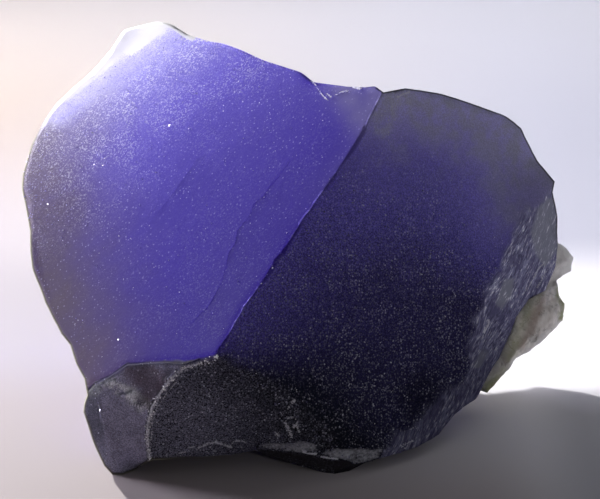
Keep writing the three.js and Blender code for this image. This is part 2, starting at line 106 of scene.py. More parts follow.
# Ragged light lines: their half width and height in mm, how pale each is, and where it runs
RAGGED_LINES = [
    (0.34, 0.20, 0.46, BLOCK_RIDGE[1:]),
    (0.16, 0.14, 0.40, [(-17.2, -18.4), (-18.6, -20.0), (-20.0, -22.1), (-20.7, -24.2), (-20.8, -26.6)]),
    (0.30, 0.16, 0.46, [
        (-14.3, -27.8), (-13.1, -27.2), (-11.9, -26.9), (-11.3, -27.1), (-10.4, -27.4), (-9.6, -27.6),
    ]),
    (0.26, 0.14, 0.42, [(-9.5, -27.0), (-9.1, -26.8), (-8.5, -26.7), (-7.5, -26.9)]),
    (0.24, 0.14, 0.42, [(-17.0, -28.5), (-16.0, -28.3)]),
    (0.24, 0.14, 0.42, [(-15.6, -27.7), (-14.8, -27.6)]),
    (0.36, 0.20, 0.26, [(-12.4, -27.9), (-11.9, -28.1)]),
    (0.15, 0.14, 0.35, [(-8.9, -27.6), (-8.1, -27.6)]),
    (0.44, 0.16, 0.42, [(-2.1, -24.2), (-1.6, -25.0), (-1.2, -26.1)]),
    (0.44, 0.16, 0.42, [(-0.9, -24.8), (-0.5, -24.4), (-0.2, -25.4)]),
    (0.44, 0.16, 0.40, [(-3.5, -25.8), (-3.1, -25.9)]),
    (0.34, 0.12, 0.40, [(-1.7, -22.2), (-0.8, -21.1)]),
    (0.34, 0.12, 0.40, [(-1.7, -23.6), (-1.0, -23.4)]),
    (0.20, 0.20, 0.75, [(0.3, -28.3), (1.2, -28.5), (2.2, -28.6)]),
    (0.18, 0.15, 0.75, [(3.0, -29.0), (4.2, -29.2), (5.3, -29.3)]),
    (0.26, 0.15, 0.42, [(14.1, -27.6), (15.0, -27.1), (15.7, -26.8)]),
    (0.18, 0.15, 0.55, [(14.3, -28.2), (14.7, -27.8)]),
    (0.26, 0.15, 0.28, [(14.6, -25.4), (16.5, -24.9)]),
    (0.25, 0.10, 0.25, [(5.1, -23.7), (6.1, -24.1), (8.3, -24.8)]),
    (0.11, 0.08, 0.70, [(1.7, 23.6), (2.6, 22.4), (3.2, 21.5), (3.9, 20.9)]),
    (0.20, 0.08, 0.45, [(3.8, 21.8), (4.4, 21.3)]),
    (0.16, 0.10, 0.45, [(5.0, 21.6), (5.7, 22.0), (6.7, 22.2)]),
    (0.35, 0.15, 0.75, [(7.4, 22.9), (8.4, 22.6)]),
    (0.25, 0.15, 0.50, [(13.6, 21.3), (14.7, 21.9), (15.2, 22.0)]),
    (0.16, 0.12, 0.40, [(-29.6, -20.0), (-28.8, -19.1), (-28.1, -18.8)]),
    (0.20, 0.15, 0.60, [(26.4, -9.9), (26.3, -10.6), (25.7, -11.6)]),
    (0.20, 0.15, 0.45, [(35.7, -1.6), (34.2, -3.4), (33.3, -5.3)]),
    (0.20, 0.15, 0.45, [(34.2, -1.7), (33.3, -2.8), (32.5, -4.4), (31.1, -6.3)]),
]

# Chips and lumpy patches: how deep they are in mm, how pale, and their corners
PALE_PATCHES = [
    (0.20, 0.60, [
        (-5.8, -27.5), (-4.4, -27.2), (-2.8, -27.3), (-1.5, -27.3), (-0.4, -27.0), (0.8, -27.0),
        (2.0, -27.4), (2.3, -28.1), (1.2, -28.1), (0.0, -28.3), (-2.0, -28.1), (-3.6, -27.8),
        (-5.2, -27.6),
    ]),
    (0.20, 0.60, [
        (3.3, -28.5), (5.3, -27.9), (6.1, -28.1), (8.6, -28.0), (10.1, -28.2), (11.4, -28.0),
        (10.9, -29.1), (8.6, -29.7), (7.7, -29.9), (6.6, -29.4), (5.3, -29.1), (4.1, -29.0),
    ]),
    (-0.25, 0.30, [
        (-28.0, -19.1), (-27.2, -18.4), (-25.6, -18.2), (-24.9, -18.6), (-25.6, -19.1), (-27.7, -19.4),
    ]),
    (-0.30, 0.26, [(-25.4, -20.4), (-23.3, -19.7), (-23.0, -20.4), (-24.6, -20.9)]),
    (-0.25, 0.22, [(-23.9, -21.7), (-21.6, -21.6), (-21.7, -22.1)]),
    (-0.25, 0.28, [(-19.5, -18.2), (-18.0, -17.6), (-18.2, -18.4)]),
]

# Smooth grey facets of the flank
FACETS = [
    [
        (33.7, 7.0), (35.6, 7.3), (36.1, 2.5), (35.8, -0.4), (34.3, -2.6), (32.9, -0.4), (32.3, 2.2),
        (33.2, 5.3),
    ],
    [(25.2, -14.2), (26.5, -14.2), (26.3, -14.9), (25.2, -16.7), (24.2, -16.5), (24.8, -15.3)],
    [(28.6, -4.2), (30.0, -4.0), (29.6, -6.6), (28.3, -8.4), (27.3, -7.6)],
]

# Where the flank meets the matrix, the white edge at the upper left, which is painted glare, the top edge,
# and the foot's underside, which is painted shade
FLANK_FOOT = [
    (36.1, -4.1), (33.1, -6.3), (31.8, -7.7), (30.2, -9.5), (29.3, -11.9), (28.0, -15.0), (26.4, -17.8),
    (25.3, -20.0),
]
WHITE_EDGE = [
    (-20.2, 31.6), (-24.7, 30.5), (-26.1, 28.5), (-27.3, 26.8), (-29.8, 24.5), (-32.2, 22.2),
    (-34.2, 20.5),
]
TOP_EDGE = [
    (-20.2, 31.6), (-17.5, 30.7), (-15.4, 29.6), (-11.2, 28.6), (-7.0, 27.1), (-2.8, 25.7), (0.7, 24.4),
    (2.5, 23.3), (7.0, 23.3), (11.7, 22.6),
]
UNDERSIDE = [
    (-5.9, -27.9), (2.2, -28.9), (4.2, -29.5), (11.2, -29.5), (7.0, -31.6), (4.2, -32.5), (-1.4, -31.0),
    (-6.5, -29.0),
]

# The peak and the direction in which the upper face's painted glow fades, its cap of painted glare and the
# painted glare beyond it
PEAK = (-33.6, 18.8)
PEAK_DIRECTION = (0.605, 0.796)
PEAK_CAP = [(-24.0, 28.4), (-21.4, 30.4)]
BESIDE_PEAK = [(-19.5, 31.6), (-18.0, 31.4), (-15.7, 29.9), (-14.9, 29.5)]

# Patches: the painted glow of light through the thin corner beside the notch, weathered bits on the brow, a
# darker brown patch and grey bits on the small block's top under the ledge, and darker at the foot's right
# end
NOTCH = [(6.5, 21.8), (9.0, 18.0), (10.6, 21.6)]
WEATHERED = [(13.0, 21.0), (14.2, 20.8), (12.0, 18.8), (11.4, 17.4)]
MAROON = [(-23.0, -17.4), (-20.4, -18.3), (-20.9, -20.6)]
GREY_BITS = [(-29.0, -19.8), (-26.6, -18.6), (-24.4, -20.2), (-21.9, -21.4)]
DARK_END = (17.2, -20.6)

# The matrix: olive outer edge and foot, olive strip beside the flank, brown streak, glassy edge and knob
MATRIX_OUTER = [(36.5, -5.5), (37.2, -7.6), (36.8, -9.8)]
MATRIX_FOOT = [(28.6, -17.6), (26.5, -19.5), (23.5, -21.6)]
MATRIX_FLANK = [(33.5, -5.2), (31.5, -9.0), (30.2, -12.5), (29.5, -15.5)]
BROWN_STREAK = [(34.0, -7.0), (33.0, -9.2), (32.2, -11.3), (31.0, -13.5)]
GLASSY_EDGE = [(36.2, -10.5), (33.8, -13.2), (31.9, -14.6), (29.9, -15.9), (29.3, -17.2)]
KNOB = [(37.0, 0.6), (38.1, -0.8), (37.9, -2.8)]

# The lamps' places in metres, and how much each main lamp and the light all round count for the skin
LAMP_BEHIND = (-0.143, 0.196, 0.085)
LAMP_LEFT = (-0.890, 0.450, 0.120)
LAMP_RIGHT = (0.45, 0.60, 0.55)
LAMP_FRONT = (0.30, -0.50, 0.14)
LAMP_SHARES = ((LAMP_BEHIND, 1.8), (LAMP_LEFT, 3.3))
AMBIENT = 0.25

# What the inside of the crystal lets through, and how thickly it absorbs the rest for every metre
ABSORBED = (0.42, 0.36, 0.88)
ABSORPTION = 70
FLUORITE_IOR = 1.434
MATRIX_IOR = 1.49
WHITE = (1.0, 1.0, 1.0)


# Sizes and colours a user would change


def number(name, description, default, **kind):
    return bpy.props.FloatProperty(name=name, description=description, default=default, **kind)


def length(name, description, default):
    return number(name, description, default, subtype="DISTANCE", unit="LENGTH", precision=5)


def power(name, description, default):
    return number(name, description, default, unit="POWER")


def share(name, description, default):
    return number(name, description, default, min=0.0, max=1.0, subtype="FACTOR")


def colour(name, description, default):
    kind = {"size": 3, "min": 0.0, "max": 1.0, "subtype": "COLOR"}
    return bpy.props.FloatVectorProperty(name=name, description=description, default=default, **kind)


class CrystalSettings(bpy.types.PropertyGroup):
    face_side: length("Face side", "Longest triangle side on the even faces", 0.0009)
    line_side: length("Line side", "Longest triangle side near ragged lines and chips", 0.00029)
    flank_side: length("Flank side", "Longest triangle side on the striated flank", 0.00045)
    back_side: length("Back side", "Longest triangle side on the broken back", 0.0015)
    skin_height: length("Skin height", "Height of the etched skin's lumps", 0.00006)
    striation_height: length("Striation height", "Height of the flank's striations", 0.00022)
    step_height: length("Step height", "Height of the growth steps on the upper face", 0.00002)
    clearness: share("Clearness", "How much light passes through", 0.15)
    ior: number("IOR", "Refractive index of fluorite", FLUORITE_IOR)
    # The upper face's colours from frost to deep violet are a painted glow of light coming through from
    # behind, brightest at the peak, where frost is partly the frosted skin and partly painted glare
    frost: colour("Frost", "The upper face at the peak", (0.68, 0.66, 0.93))
    pale_lilac: colour("Pale lilac", "The upper face below the peak", (0.38, 0.35, 0.82))
    lilac: colour("Lilac", "The upper face's frosted part", (0.145, 0.114, 0.545))
    violet: colour("Violet", "The upper face's middle", (0.042, 0.023, 0.268))
    deep_violet: colour("Deep violet", "The upper face far from the peak", (0.020, 0.006, 0.185))
    mauve: colour("Mauve", "The greyish margin down the left side", (0.082, 0.060, 0.066))
    # The front face's colours from brow grey to front foot are painted light along the brow and painted
    # shade deepening towards the table
    brow_grey: colour("Brow grey", "The front face along its brow", (0.52, 0.49, 0.84))
    front_indigo: colour("Front indigo", "The front face below the brow", (0.23, 0.195, 0.64))
    indigo: colour("Indigo", "The front face's middle", (0.135, 0.115, 0.43))
    front_dark: colour("Front dark", "The front face's lower part", (0.033, 0.029, 0.096))
    front_foot: colour("Front foot", "The front face near the table", (0.006, 0.007, 0.013))
    charcoal: colour("Charcoal", "The lower face", (0.043, 0.043, 0.057))
    block_grey: colour("Block grey", "The small block's face", (0.195, 0.186, 0.262))
    block_brown: colour("Block brown", "The speckled top of the small block", (0.075, 0.050, 0.062))
    flank_grey: colour("Flank grey", "The silky streaks of the flank", (0.36, 0.36, 0.56))
    crust_white: colour("Crust white", "The ragged crust lines", (0.75, 0.75, 0.80))
    rim_olive: colour("Rim olive", "The thin edge that light shines through", (0.060, 0.052, 0.026))
    rim_light: colour("Rim light", "The outermost line of the thin edge", (0.22, 0.215, 0.155))


class GrainSettings(bpy.types.PropertyGroup):
    speck_size: length("Speck size", "Side of the pale specks on the upper face", 0.00015)
    speck_density: number("Speck density", "Pale specks in a square metre", 1.4e6)
    grain_size: length("Grain size", "Side of the etched micro cubes", 0.00016)
    grain_density: number("Grain density", "Micro cubes in a square metre", 6e5)
    grain_tilt: number("Grain tilt", "Largest tilt out of the crystal's lattice", 0.7, subtype="ANGLE")
    rubble_size: length("Rubble size", "Size of the crumbs along the ridges", 0.00027)
    rubble_density: number("Rubble density", "Crumbs in a square metre", 1e7)
    seed: bpy.props.IntProperty(name="Seed", description="Seed of the scattered pieces", default=5)


class MatrixSettings(bpy.types.PropertyGroup):
    matrix_side: length("Matrix side", "Longest triangle side on the matrix", 0.0004)
    lump_height: length("Lump height", "Height of the matrix's lumps", 0.00035)
    matrix_clearness: share("Clearness", "How much light passes through", 0.35)
    milky: colour("Milky", "The translucent slab", (0.92, 0.88, 0.83))
    olive: colour("Olive", "The olive-green rims", (0.31, 0.33, 0.13))
    brown: colour("Brown", "The brown streak", (0.32, 0.23, 0.17))
    glassy: colour("Glassy", "The whitish edges", (0.95, 0.95, 0.93))


# Points and triangles


def merged(node):
    """The points and triangles of a CAD node, its doubled points merged."""
    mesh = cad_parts[node].data
    bm = bmesh.new()
    bm.from_mesh(mesh)
    bmesh.ops.remove_doubles(bm, verts=bm.verts, dist=1e-6)
    bmesh.ops.triangulate(bm, faces=bm.faces)
    bm.verts.index_update()
    points = np.array([v.co[:] for v in bm.verts])
    triangles = np.array([[v.index for v in f.verts] for f in bm.faces])
    bm.free()
    return points, triangles


def sides_of(triangles):
    """The two points of every triangle's three sides."""
    return triangles[:, [[0, 1], [1, 2], [2, 0]]].reshape(-1, 2)


def split_sides(points, triangles, longest):
    """Halves every side longer than longest(its middle), in both of its triangles, until none is left."""
    while True:
        sides = np.sort(sides_of(triangles), axis=1)
        keys, place = np.unique(sides[:, 0] * len(points) + sides[:, 1], return_inverse=True)
        a, b = keys // len(points), keys % len(points)
        middles = (points[a] + points[b]) / 2
        long = np.linalg.norm(points[a] - points[b], axis=1) > longest(middles)
        if not long.any():
            return points, triangles
        new = np.full(len(keys), -1)
        new[long] = len(points) + np.arange(long.sum())
        points = np.vstack([points, middles[long]])
        m = new[place.reshape(-1)].reshape(-1, 3)
        cuts = (m >= 0).sum(axis=1)
        parts = [triangles[cuts == 0]]
        t, n = triangles[cuts == 3], m[cuts == 3]
        parts.append(np.stack((t[:, 0], n[:, 0], n[:, 2]), axis=1))
        parts.append(np.stack((n[:, 0], t[:, 1], n[:, 1]), axis=1))
        parts.append(np.stack((n[:, 2], n[:, 1], t[:, 2]), axis=1))
        parts.append(n)
        for turn in range(3):
            order = [turn, (turn + 1) % 3, (turn + 2) % 3]
            t, n = triangles[:, order], m[:, order]
            one = (cuts == 1) & (n[:, 0] >= 0)
            two = (cuts == 2) & (n[:, 0] >= 0) & (n[:, 1] >= 0)
            parts.append(np.stack((t[one, 0], n[one, 0], t[one, 2]), axis=1))
            parts.append(np.stack((n[one, 0], t[one, 1], t[one, 2]), axis=1))
            parts.append(np.stack((n[two, 0], t[two, 1], n[two, 1]), axis=1))
            parts.append(np.stack((t[two, 0], n[two, 0], n[two, 1]), axis=1))
            parts.append(np.stack((t[two, 0], n[two, 1], t[two, 2]), axis=1))
        triangles = np.vstack(parts)


def directions(vectors):
    return vectors / np.maximum(np.linalg.norm(vectors, axis=1, keepdims=True), 1e-20)


def crossed_sides(points, triangles):
    """A vector square to each triangle, twice as long as the triangle's area."""
    a, b, c = (points[triangles[:, i]] for i in range(3))
    return np.cross(b - a, c - a)


def face_normals(points, triangles):
    return directions(crossed_sides(points, triangles))


def normals(points, triangles):
    """Each point's outward direction, the mean of its triangles' by their areas."""
    faces = crossed_sides(points, triangles)
    total = np.zeros_like(points)
    for i in range(3):
        np.add.at(total, triangles[:, i], faces)
    return directions(total)


def neighbours(triangles):
    """The start and the end of every triangle's sides, so that each side counts once each way round."""
    return sides_of(triangles).T


def average(values, start, end, weights, count):
    """The weighted mean of each point's neighbours."""
    total = np.bincount(start, weights, count) + 1e-12
    if values.ndim == 1:
        return np.bincount(start, weights * values[end], count) / total
    return np.stack([np.bincount(start, weights * v[end], count) / total for v in values.T], axis=1)


def shared_sides(triangles):
    """Each side that two triangles share, as its two points, and the numbers of both triangles."""
    sides = np.sort(sides_of(triangles), axis=1)
    owners = np.repeat(np.arange(len(triangles)), 3)
    order = np.lexsort((sides[:, 1], sides[:, 0]))
    sides, owners = sides[order], owners[order]
    same = np.nonzero((sides[:-1] == sides[1:]).all(axis=1))[0]
    return sides[same], owners[same], owners[same + 1]


def ease(points, triangles, rounds, crease):
    """Smooths the coarse solid. Points on an edge sharper than the crease angle move only along it."""
    faces = face_normals(points, triangles)
    sides, one, other = shared_sides(triangles)
    sharp = sides[np.einsum("ij,ij->i", faces[one], faces[other]) < math.cos(crease)]
    on_edge = np.bincount(sharp.reshape(-1), minlength=len(points))
    start, end = neighbours(triangles)
    start, end = start[on_edge[start] == 0], end[on_edge[start] == 0]
    curved = on_edge == 2
    edge_start, edge_end = np.vstack([sharp, sharp[:, ::-1]]).T
    keep = curved[edge_start]
    start, end = np.append(start, edge_start[keep]), np.append(end, edge_end[keep])
    moves = ((on_edge == 0) | curved)[:, None]
    for turn in range(rounds):
        out = normals(points, triangles)
        bend = 1 - np.einsum("ij,ij->i", out[start], out[end])
        weights = np.where(curved[start], 1.0, np.exp(-bend / (1 - math.cos(crease))))
        pull = np.where(curved[:, None], 0.5 * (turn < 3), 0.5) * moves
        points = points + pull * (average(points, start, end, weights, len(points)) - points)
    return points


def evened(points, inner, direction, x, y):
    """Brings the inner points' height along a direction to a gently curved surface over x and y."""
    x, y = x / 40, y / 40
    terms = np.stack([x**i * y**j for i in range(6) for j in range(6 - i)], axis=1)
    height = points @ direction
    fit = np.linalg.lstsq(terms[inner > 0.9], height[inner > 0.9], rcond=None)[0]
    return points + direction * (inner * (terms @ fit - height))[:, None]


def spread(values, triangles, rounds):
    """Blurs values over the mesh."""
    start, end = neighbours(triangles)
    for _ in range(rounds):
        values = (values + average(values, start, end, np.ones(len(start)), len(values))) / 2
    return values


def lattice(i, j, k, seed):
    """A fixed number from -1 to 1 for each corner of a lattice."""
    h = (i * 374761393 + j * 668265263 + k * 2147483647 + seed * 1013904223) & 0xFFFFFFFF
    h = ((h ^ (h >> 13)) * 1274126177) & 0xFFFFFFFF
    return ((h ^ (h >> 16)) & 0xFFFFFF) / 0x7FFFFF - 1


def noise(places, size, seed=0):
    """Smooth noise from -1 to 1 with lumps of the given size."""
    q = places / size
    cell = np.floor(q).astype(np.int64)
    f = q - cell
    f = f * f * (3 - 2 * f)
    total = 0
    for corner in range(8):
        d = np.array([corner & 1, corner >> 1 & 1, corner >> 2])
        weight = np.prod(np.where(d, f, 1 - f), axis=1)
        total = total + weight * lattice(*(cell + d).T, seed)
    return total


def lumps(places, size, octaves=3, seed=0):
    """Noise whose lumps carry finer lumps."""
    total = sum(0.5**n * noise(places, size / 2**n, seed + n) for n in range(octaves))
    return total / (2 - 0.5 ** (octaves - 1))


def smoothstep(low, high, values):
    t = np.clip((values - low) / (high - low), 0, 1)
    return t * t * (3 - 2 * t)


# The faces as the viewer sees them


def sighted(points):
    """Where points appear on the picture plane, in mm right, mm up, and mm back."""
    d = (points - np.array(PLANE_MIDDLE)) / MM
    back = d[:, 1] * math.cos(LEAN) - d[:, 2] * math.sin(LEAN)
    grow = 1 + back / (EYE / MM)
    up = d[:, 1] * math.sin(LEAN) + d[:, 2] * math.cos(LEAN)
    return d[:, 0] / grow, up / grow, back


def inside(corners, x, y):
    """Which places lie within an outline."""
    within = np.zeros(len(x), bool)
    for (ax, ay), (bx, by) in zip(corners, corners[1:] + corners[:1]):
        crosses = (ay > y) != (by > y)
        within ^= crosses & (x < (bx - ax) * (y - ay) / (by - ay + 1e-12) + ax)
    return within


def distance_to(line, x, y):
    """How far places are from a line through some points."""
    nearest = np.full(len(x), 1e9)
    for (ax, ay), (bx, by) in zip(line, line[1:]):
        t = np.clip(((x - ax) * (bx - ax) + (y - ay) * (by - ay)) / ((bx - ax) ** 2 + (by - ay) ** 2), 0, 1)
        nearest = np.minimum(nearest, np.hypot(x - ax - t * (bx - ax), y - ay - t * (by - ay)))
    return nearest


# The crystal's faces as outlines, which run well past the crystal where nothing bounds them
FAR = 200
REGIONS = {
    "upper": LONG_EDGE + LEDGE[1:] + [(-FAR, -30), (-FAR, FAR), (11.7, FAR)],
    "front": LONG_EDGE + KEEL[1:] + FLANK_EDGE[::-1] + [(FAR, 40), (FAR, FAR), (11.7, FAR)],
    "lower": KEEL + [(5, -FAR), (-21, -FAR)] + BLOCK_RIDGE[::-1],
    "block": LEDGE[1:] + [(-FAR, -30), (-FAR, -FAR), (-21, -FAR)] + BLOCK_RIDGE[::-1],
    "flank": FLANK_EDGE + [(10, -FAR), (FAR, -FAR), (FAR, 40)],
}


def face_masks(points, out, triangles):
    """How much each point belongs to each of the crystal's faces as the viewer sees them."""
    right, up, back = sighted(points)
    near_flank = np.exp(-((distance_to(FLANK_EDGE, right, up) / 3) ** 2))
    wander = np.stack([lumps(points, 0.0018, 3, 5), lumps(points, 0.0018, 3, 9)]) * (0.4 + 0.9 * near_flank)
    towards = EYE_PLACE - points
    towards /= np.linalg.norm(towards, axis=1, keepdims=True)
    facing = np.einsum("ij,ij->i", towards, out)
    shown = smoothstep(-0.05, 0.12, facing)
    masks = {"away": spread(-facing, triangles, 4), "facing": facing}
    for name, corners in REGIONS.items():
        mask = inside(corners, right + wander[0], up + wander[1]) * shown
        masks[name] = spread(mask, triangles, 2)
    masks["broken"] = 1 - shown
    return masks, right, up


def make_object(name, points, triangles, attributes, material):
    mesh = bpy.data.meshes.new(name)
    mesh.from_pydata(points.tolist(), [], triangles.tolist())
    for key, values in attributes.items():
        kind, field = ("FLOAT", "value") if values.ndim == 1 else ("FLOAT_VECTOR", "vector")
        attribute = mesh.attributes.new(key, kind, "POINT")
        attribute.data.foreach_set(field, values.astype(np.float32).reshape(-1))
    mesh.polygons.foreach_set("use_smooth", np.ones(len(mesh.polygons), bool))
    mesh.materials.append(material)
    obj = bpy.data.objects.new(name, mesh)
    bpy.context.scene.collection.objects.link(obj)
    return obj


# Materials


class Value:
    """A shader socket that takes part in Python arithmetic."""

    def __init__(self, maker, socket):
        self.maker = maker
        self.socket = socket

    def _math(self, operation, *values):
        return self.maker.node("ShaderNodeMath", {"operation": operation}, values)

    def __add__(self, other):
        return self._math("ADD", self, other)

    __radd__ = __add__

    def __sub__(self, other):
        return self._math("SUBTRACT", self, other)

    def __rsub__(self, other):
        return self._math("SUBTRACT", other, self)

    def __mul__(self, other):
        return self._math("MULTIPLY", self, other)

    __rmul__ = __mul__

    def between(self, low, high):
        """0 below low, 1 above high, and smooth in between."""
        settings = {"interpolation_type": "SMOOTHSTEP"}
        values = {"Value": self, "From Min": low, "From Max": high}
        return self.maker.node("ShaderNodeMapRange", settings, values, "Result")


def halfway(a, b, share):
    return tuple(x + (y - x) * share for x, y in zip(a, b))


class Maker:
    """Makes one material's nodes."""

    def __init__(self, name):
        self.material = bpy.data.materials.new(name)
        self.material.use_nodes = True
        self.tree = self.material.node_tree
        self.shader = self.tree.nodes["Principled BSDF"]
        self.place = self.node("ShaderNodeTexCoord", {}, {}, "Object")

    def node(self, kind, settings, values, output=0):
        made = self.tree.nodes.new(kind)
        for key, setting in settings.items():
            if key == "stops":
                self.set_stops(made.color_ramp, setting)
            else:
                setattr(made, key, setting)
        named = values.items() if isinstance(values, dict) else enumerate(values)
        for key, value in named:
            self.feed(made.inputs[key], value)
        return Value(self, made.outputs[output])

    def set_stops(self, ramp, stops):
        while len(ramp.elements) < len(stops):
            ramp.elements.new(0.5)
        for element, (position, rgb) in zip(ramp.elements, stops):
            element.position = position
            element.color = (*rgb, 1)

    def feed(self, socket, value):
        if isinstance(value, Value):
            self.tree.links.new(value.socket, socket)
        elif socket.type == "RGBA" and len(value) == 3:
            socket.default_value = (*value, 1)
        else:
            socket.default_value = value

    def attribute(self, name):
        return self.node("ShaderNodeAttribute", {"attribute_name": name}, {}, "Fac")

    def noise(self, size, detail=3.0, roughness=0.55, place=None):
        values = {"Vector": place or self.place, "Scale": 1 / size}
        values.update({"Detail": detail, "Roughness": roughness})
        return self.node("ShaderNodeTexNoise", {}, values, "Fac")

    def cells(self, size, output):
        return self.node("ShaderNodeTexVoronoi", {}, {"Vector": self.place, "Scale": 1 / size}, output)

    def dots(self, size, radius, faint, bright):
        """Round grains in cells of a size: each fills a share of its cell, and few are bright."""
        middle = 1 - self.cells(size, "Distance").between(radius * 0.5, radius)
        red = self.node("ShaderNodeSeparateColor", {}, {"Color": self.cells(size, "Color")}, "Red")
        return middle * red.between(faint, bright)

    def veins(self, size, narrowness):
        """Thin curving lines, 1 along their middle."""
        away = self.node("ShaderNodeMath", {"operation": "ABSOLUTE"}, [self.noise(size, 2.0) - 0.5])
        return 1 - away * narrowness

    def turned(self, scale, turn):
        return self.node("ShaderNodeMapping", {}, {"Vector": self.place, "Rotation": turn, "Scale": scale})

    def mix(self, share, a, b):
        """Two colours mixed. The mix node's colour sockets come after those for numbers and vectors."""
        return self.node("ShaderNodeMix", {"data_type": "RGBA"}, {0: share, 6: a, 7: b}, 2)

    def scaled(self, rgb, factor):
        return self.node("ShaderNodeVectorMath", {"operation": "SCALE"}, {"Vector": rgb, "Scale": factor})

    def ramp(self, share, stops):
        return self.node("ShaderNodeValToRGB", {"stops": stops}, {"Fac": share}, "Color")

    def stretched(self, place, factors):
        return self.node("ShaderNodeVectorMath", {"operation": "MULTIPLY"}, [place, factors])

    def bump(self, height, distance, strength):
        values = {"Height": height, "Distance": distance, "Strength": strength}
        return self.node("ShaderNodeBump", {}, values, "Normal")

    def finish(self, **sockets):
        for key, value in sockets.items():
            self.feed(self.shader.inputs[key.replace("_", " ")], value)
        return self.material


def darker(rgb, share):
    return tuple(channel * share for channel in rgb)


FLUORITE_MASKS = (
    "upper", "front", "lower", "block", "flank", "broken", "glow", "haze", "left", "inner", "corner",
    "edge", "crease", "step", "pale", "chip", "block_top", "block_bits", "ledge", "under", "facet",
    "weathered", "sheen", "low", "front_end", "white", "dim", "rim", "rim_share", "brow_rim",
)


def upper_colour(m, mask, skin, s):
    """White at the peak, through lilac to deep violet, a painted glow of light coming through from behind,
    with painted glare at the peak where the skin is also frosted, and mauve down the left side.
    """
    glow_tone = mask.glow + (skin.clouds - 0.5) * 0.06 + (skin.wisps - 0.5) * 0.07 + (skin.mottle - 0.4) * 0.05
    violet = m.ramp(glow_tone, [
        (0.05, s.deep_violet),
        (0.20, halfway(s.deep_violet, s.violet, 0.45)),
        (0.345, s.violet),
        (0.49, halfway(s.violet, s.lilac, 0.16)),
        (0.636, halfway(s.violet, s.lilac, 0.62)),
        (0.709, s.lilac),
        (0.782, halfway(s.lilac, s.pale_lilac, 0.38)),
        (0.855, s.pale_lilac),
        (0.927, s.frost),
        (1.0, WHITE),
    ])
    # The mauve margin follows the painted glow: lighter near the peak, darker far from it
    mauve = m.mix(mask.glow.between(0.55, 0.90), s.mauve, (0.155, 0.120, 0.120))
    mauve = m.mix(mask.glow.between(0.34, 0.16), mauve, (0.105, 0.076, 0.070))
    violet = m.mix(mask.left * (0.85 + skin.wisps * 0.3), violet, mauve)
    # The frost strokes show most near the peak, where the painted glow is brightest
    clusters = m.noise(0.006, 3.0).between(0.35, 0.65) * 0.7 + 0.3
    frosted = skin.strokes * clusters * (mask.glow.between(0.50, 0.95) * 0.95 + 0.05)
    violet = m.mix(frosted * (1 - mask.left * 0.45), violet, (0.90, 0.89, 1.0))
    # Painted glow of light through the thin corner beside the notch
    violet = m.mix(mask.corner * (0.4 + skin.wisps * 0.5), violet, (0.17, 0.155, 0.29))
    violet = m.mix(mask.edge * 0.34, violet, (0.15, 0.135, 0.28))
    # Painted highlight on the pale side of the growth steps and painted shade on their dark side
    violet = m.mix(mask.step * 0.8, violet, s.lilac)
    return m.mix(mask.step * -0.50, violet, darker(s.deep_violet, 0.4))


def front_colour(m, mask, skin, s):
    """Grey along the brow as painted light, indigo in the middle, and nearly black at the foot as painted
    shade near the table.
    """
    indigo = m.ramp(mask.haze + (skin.wisps - 0.5) * 0.06 + (skin.clouds - 0.5) * 0.12, [
        (0.0, s.brow_grey),
        (0.07, halfway(s.brow_grey, s.front_indigo, 0.35)),
        (0.14, halfway(s.brow_grey, s.front_indigo, 0.62)),
        (0.21, s.front_indigo),
        (0.36, s.indigo),
        (0.56, s.front_dark),
        (0.78, halfway(s.front_dark, s.front_foot, 0.45)),
        (0.96, s.front_foot),
    ])
    # Painted glow of light through the crystal beside the long edge
    indigo = m.mix(mask.inner, indigo, (0.14, 0.11, 0.50))
    # Painted light in grey patches along the brow
    hazy = skin.hazy * m.noise(0.004, 3.0, 0.6).between(0.40, 0.62) * 0.6
    indigo = m.mix(hazy, indigo, (0.40, 0.41, 0.47))
    bits = mask.weathered * (skin.wisps.between(0.40, 0.60) * 0.45 + skin.bright_dots)
    indigo = m.mix(bits, indigo, (0.52, 0.53, 0.58))
    return m.scaled(indigo, 1 - mask.front_end * 0.38)


def lower_colour(m, mask, skin, s):
    charcoal = m.mix(skin.clouds.between(0.35, 0.65), s.charcoal, darker(s.charcoal, 0.7))
    # Painted sheen: the lower face lighter towards its lower left
    return m.scaled(charcoal, mask.sheen)


def block_colour(m, mask, skin, s):
    greys = m.mix(skin.wisps.between(0.35, 0.7), s.block_grey, darker(s.block_grey, 0.68))
    bits = mask.block_bits * (skin.wisps + skin.fine * 0.3).between(0.56, 0.68)
    greys = m.mix(bits, greys, (0.44, 0.45, 0.48))
    return m.mix(mask.block_top * (0.40 + skin.wisps * 0.6), greys, s.block_brown)


def flank_colour(m, mask, flow, silk, s):
    """Silky streaks and threads that run down the broken flank."""
    threads = m.noise(0.16, 2.0, 0.6, m.stretched(flow, (1.0, 0.09, 1.0)))
    streaky = m.mix(silk.between(0.36, 0.66), (0.14, 0.13, 0.26), s.flank_grey)
    streaky = m.mix(threads.between(0.34, 0.50), (0.10, 0.095, 0.19), streaky)
    streaky = m.mix(mask.facet * 0.8, streaky, (0.335, 0.345, 0.42))
    # Painted sheen on the silky threads
    thread_sheen = threads.between(0.56, 0.66) * silk.between(0.42, 0.56) * 0.85
    streaky = m.mix(thread_sheen, streaky, (0.95, 0.95, 1.0))
    # Painted shade: the flank darker towards the table
    return m.scaled(streaky, 1.12 - mask.low * 0.68)


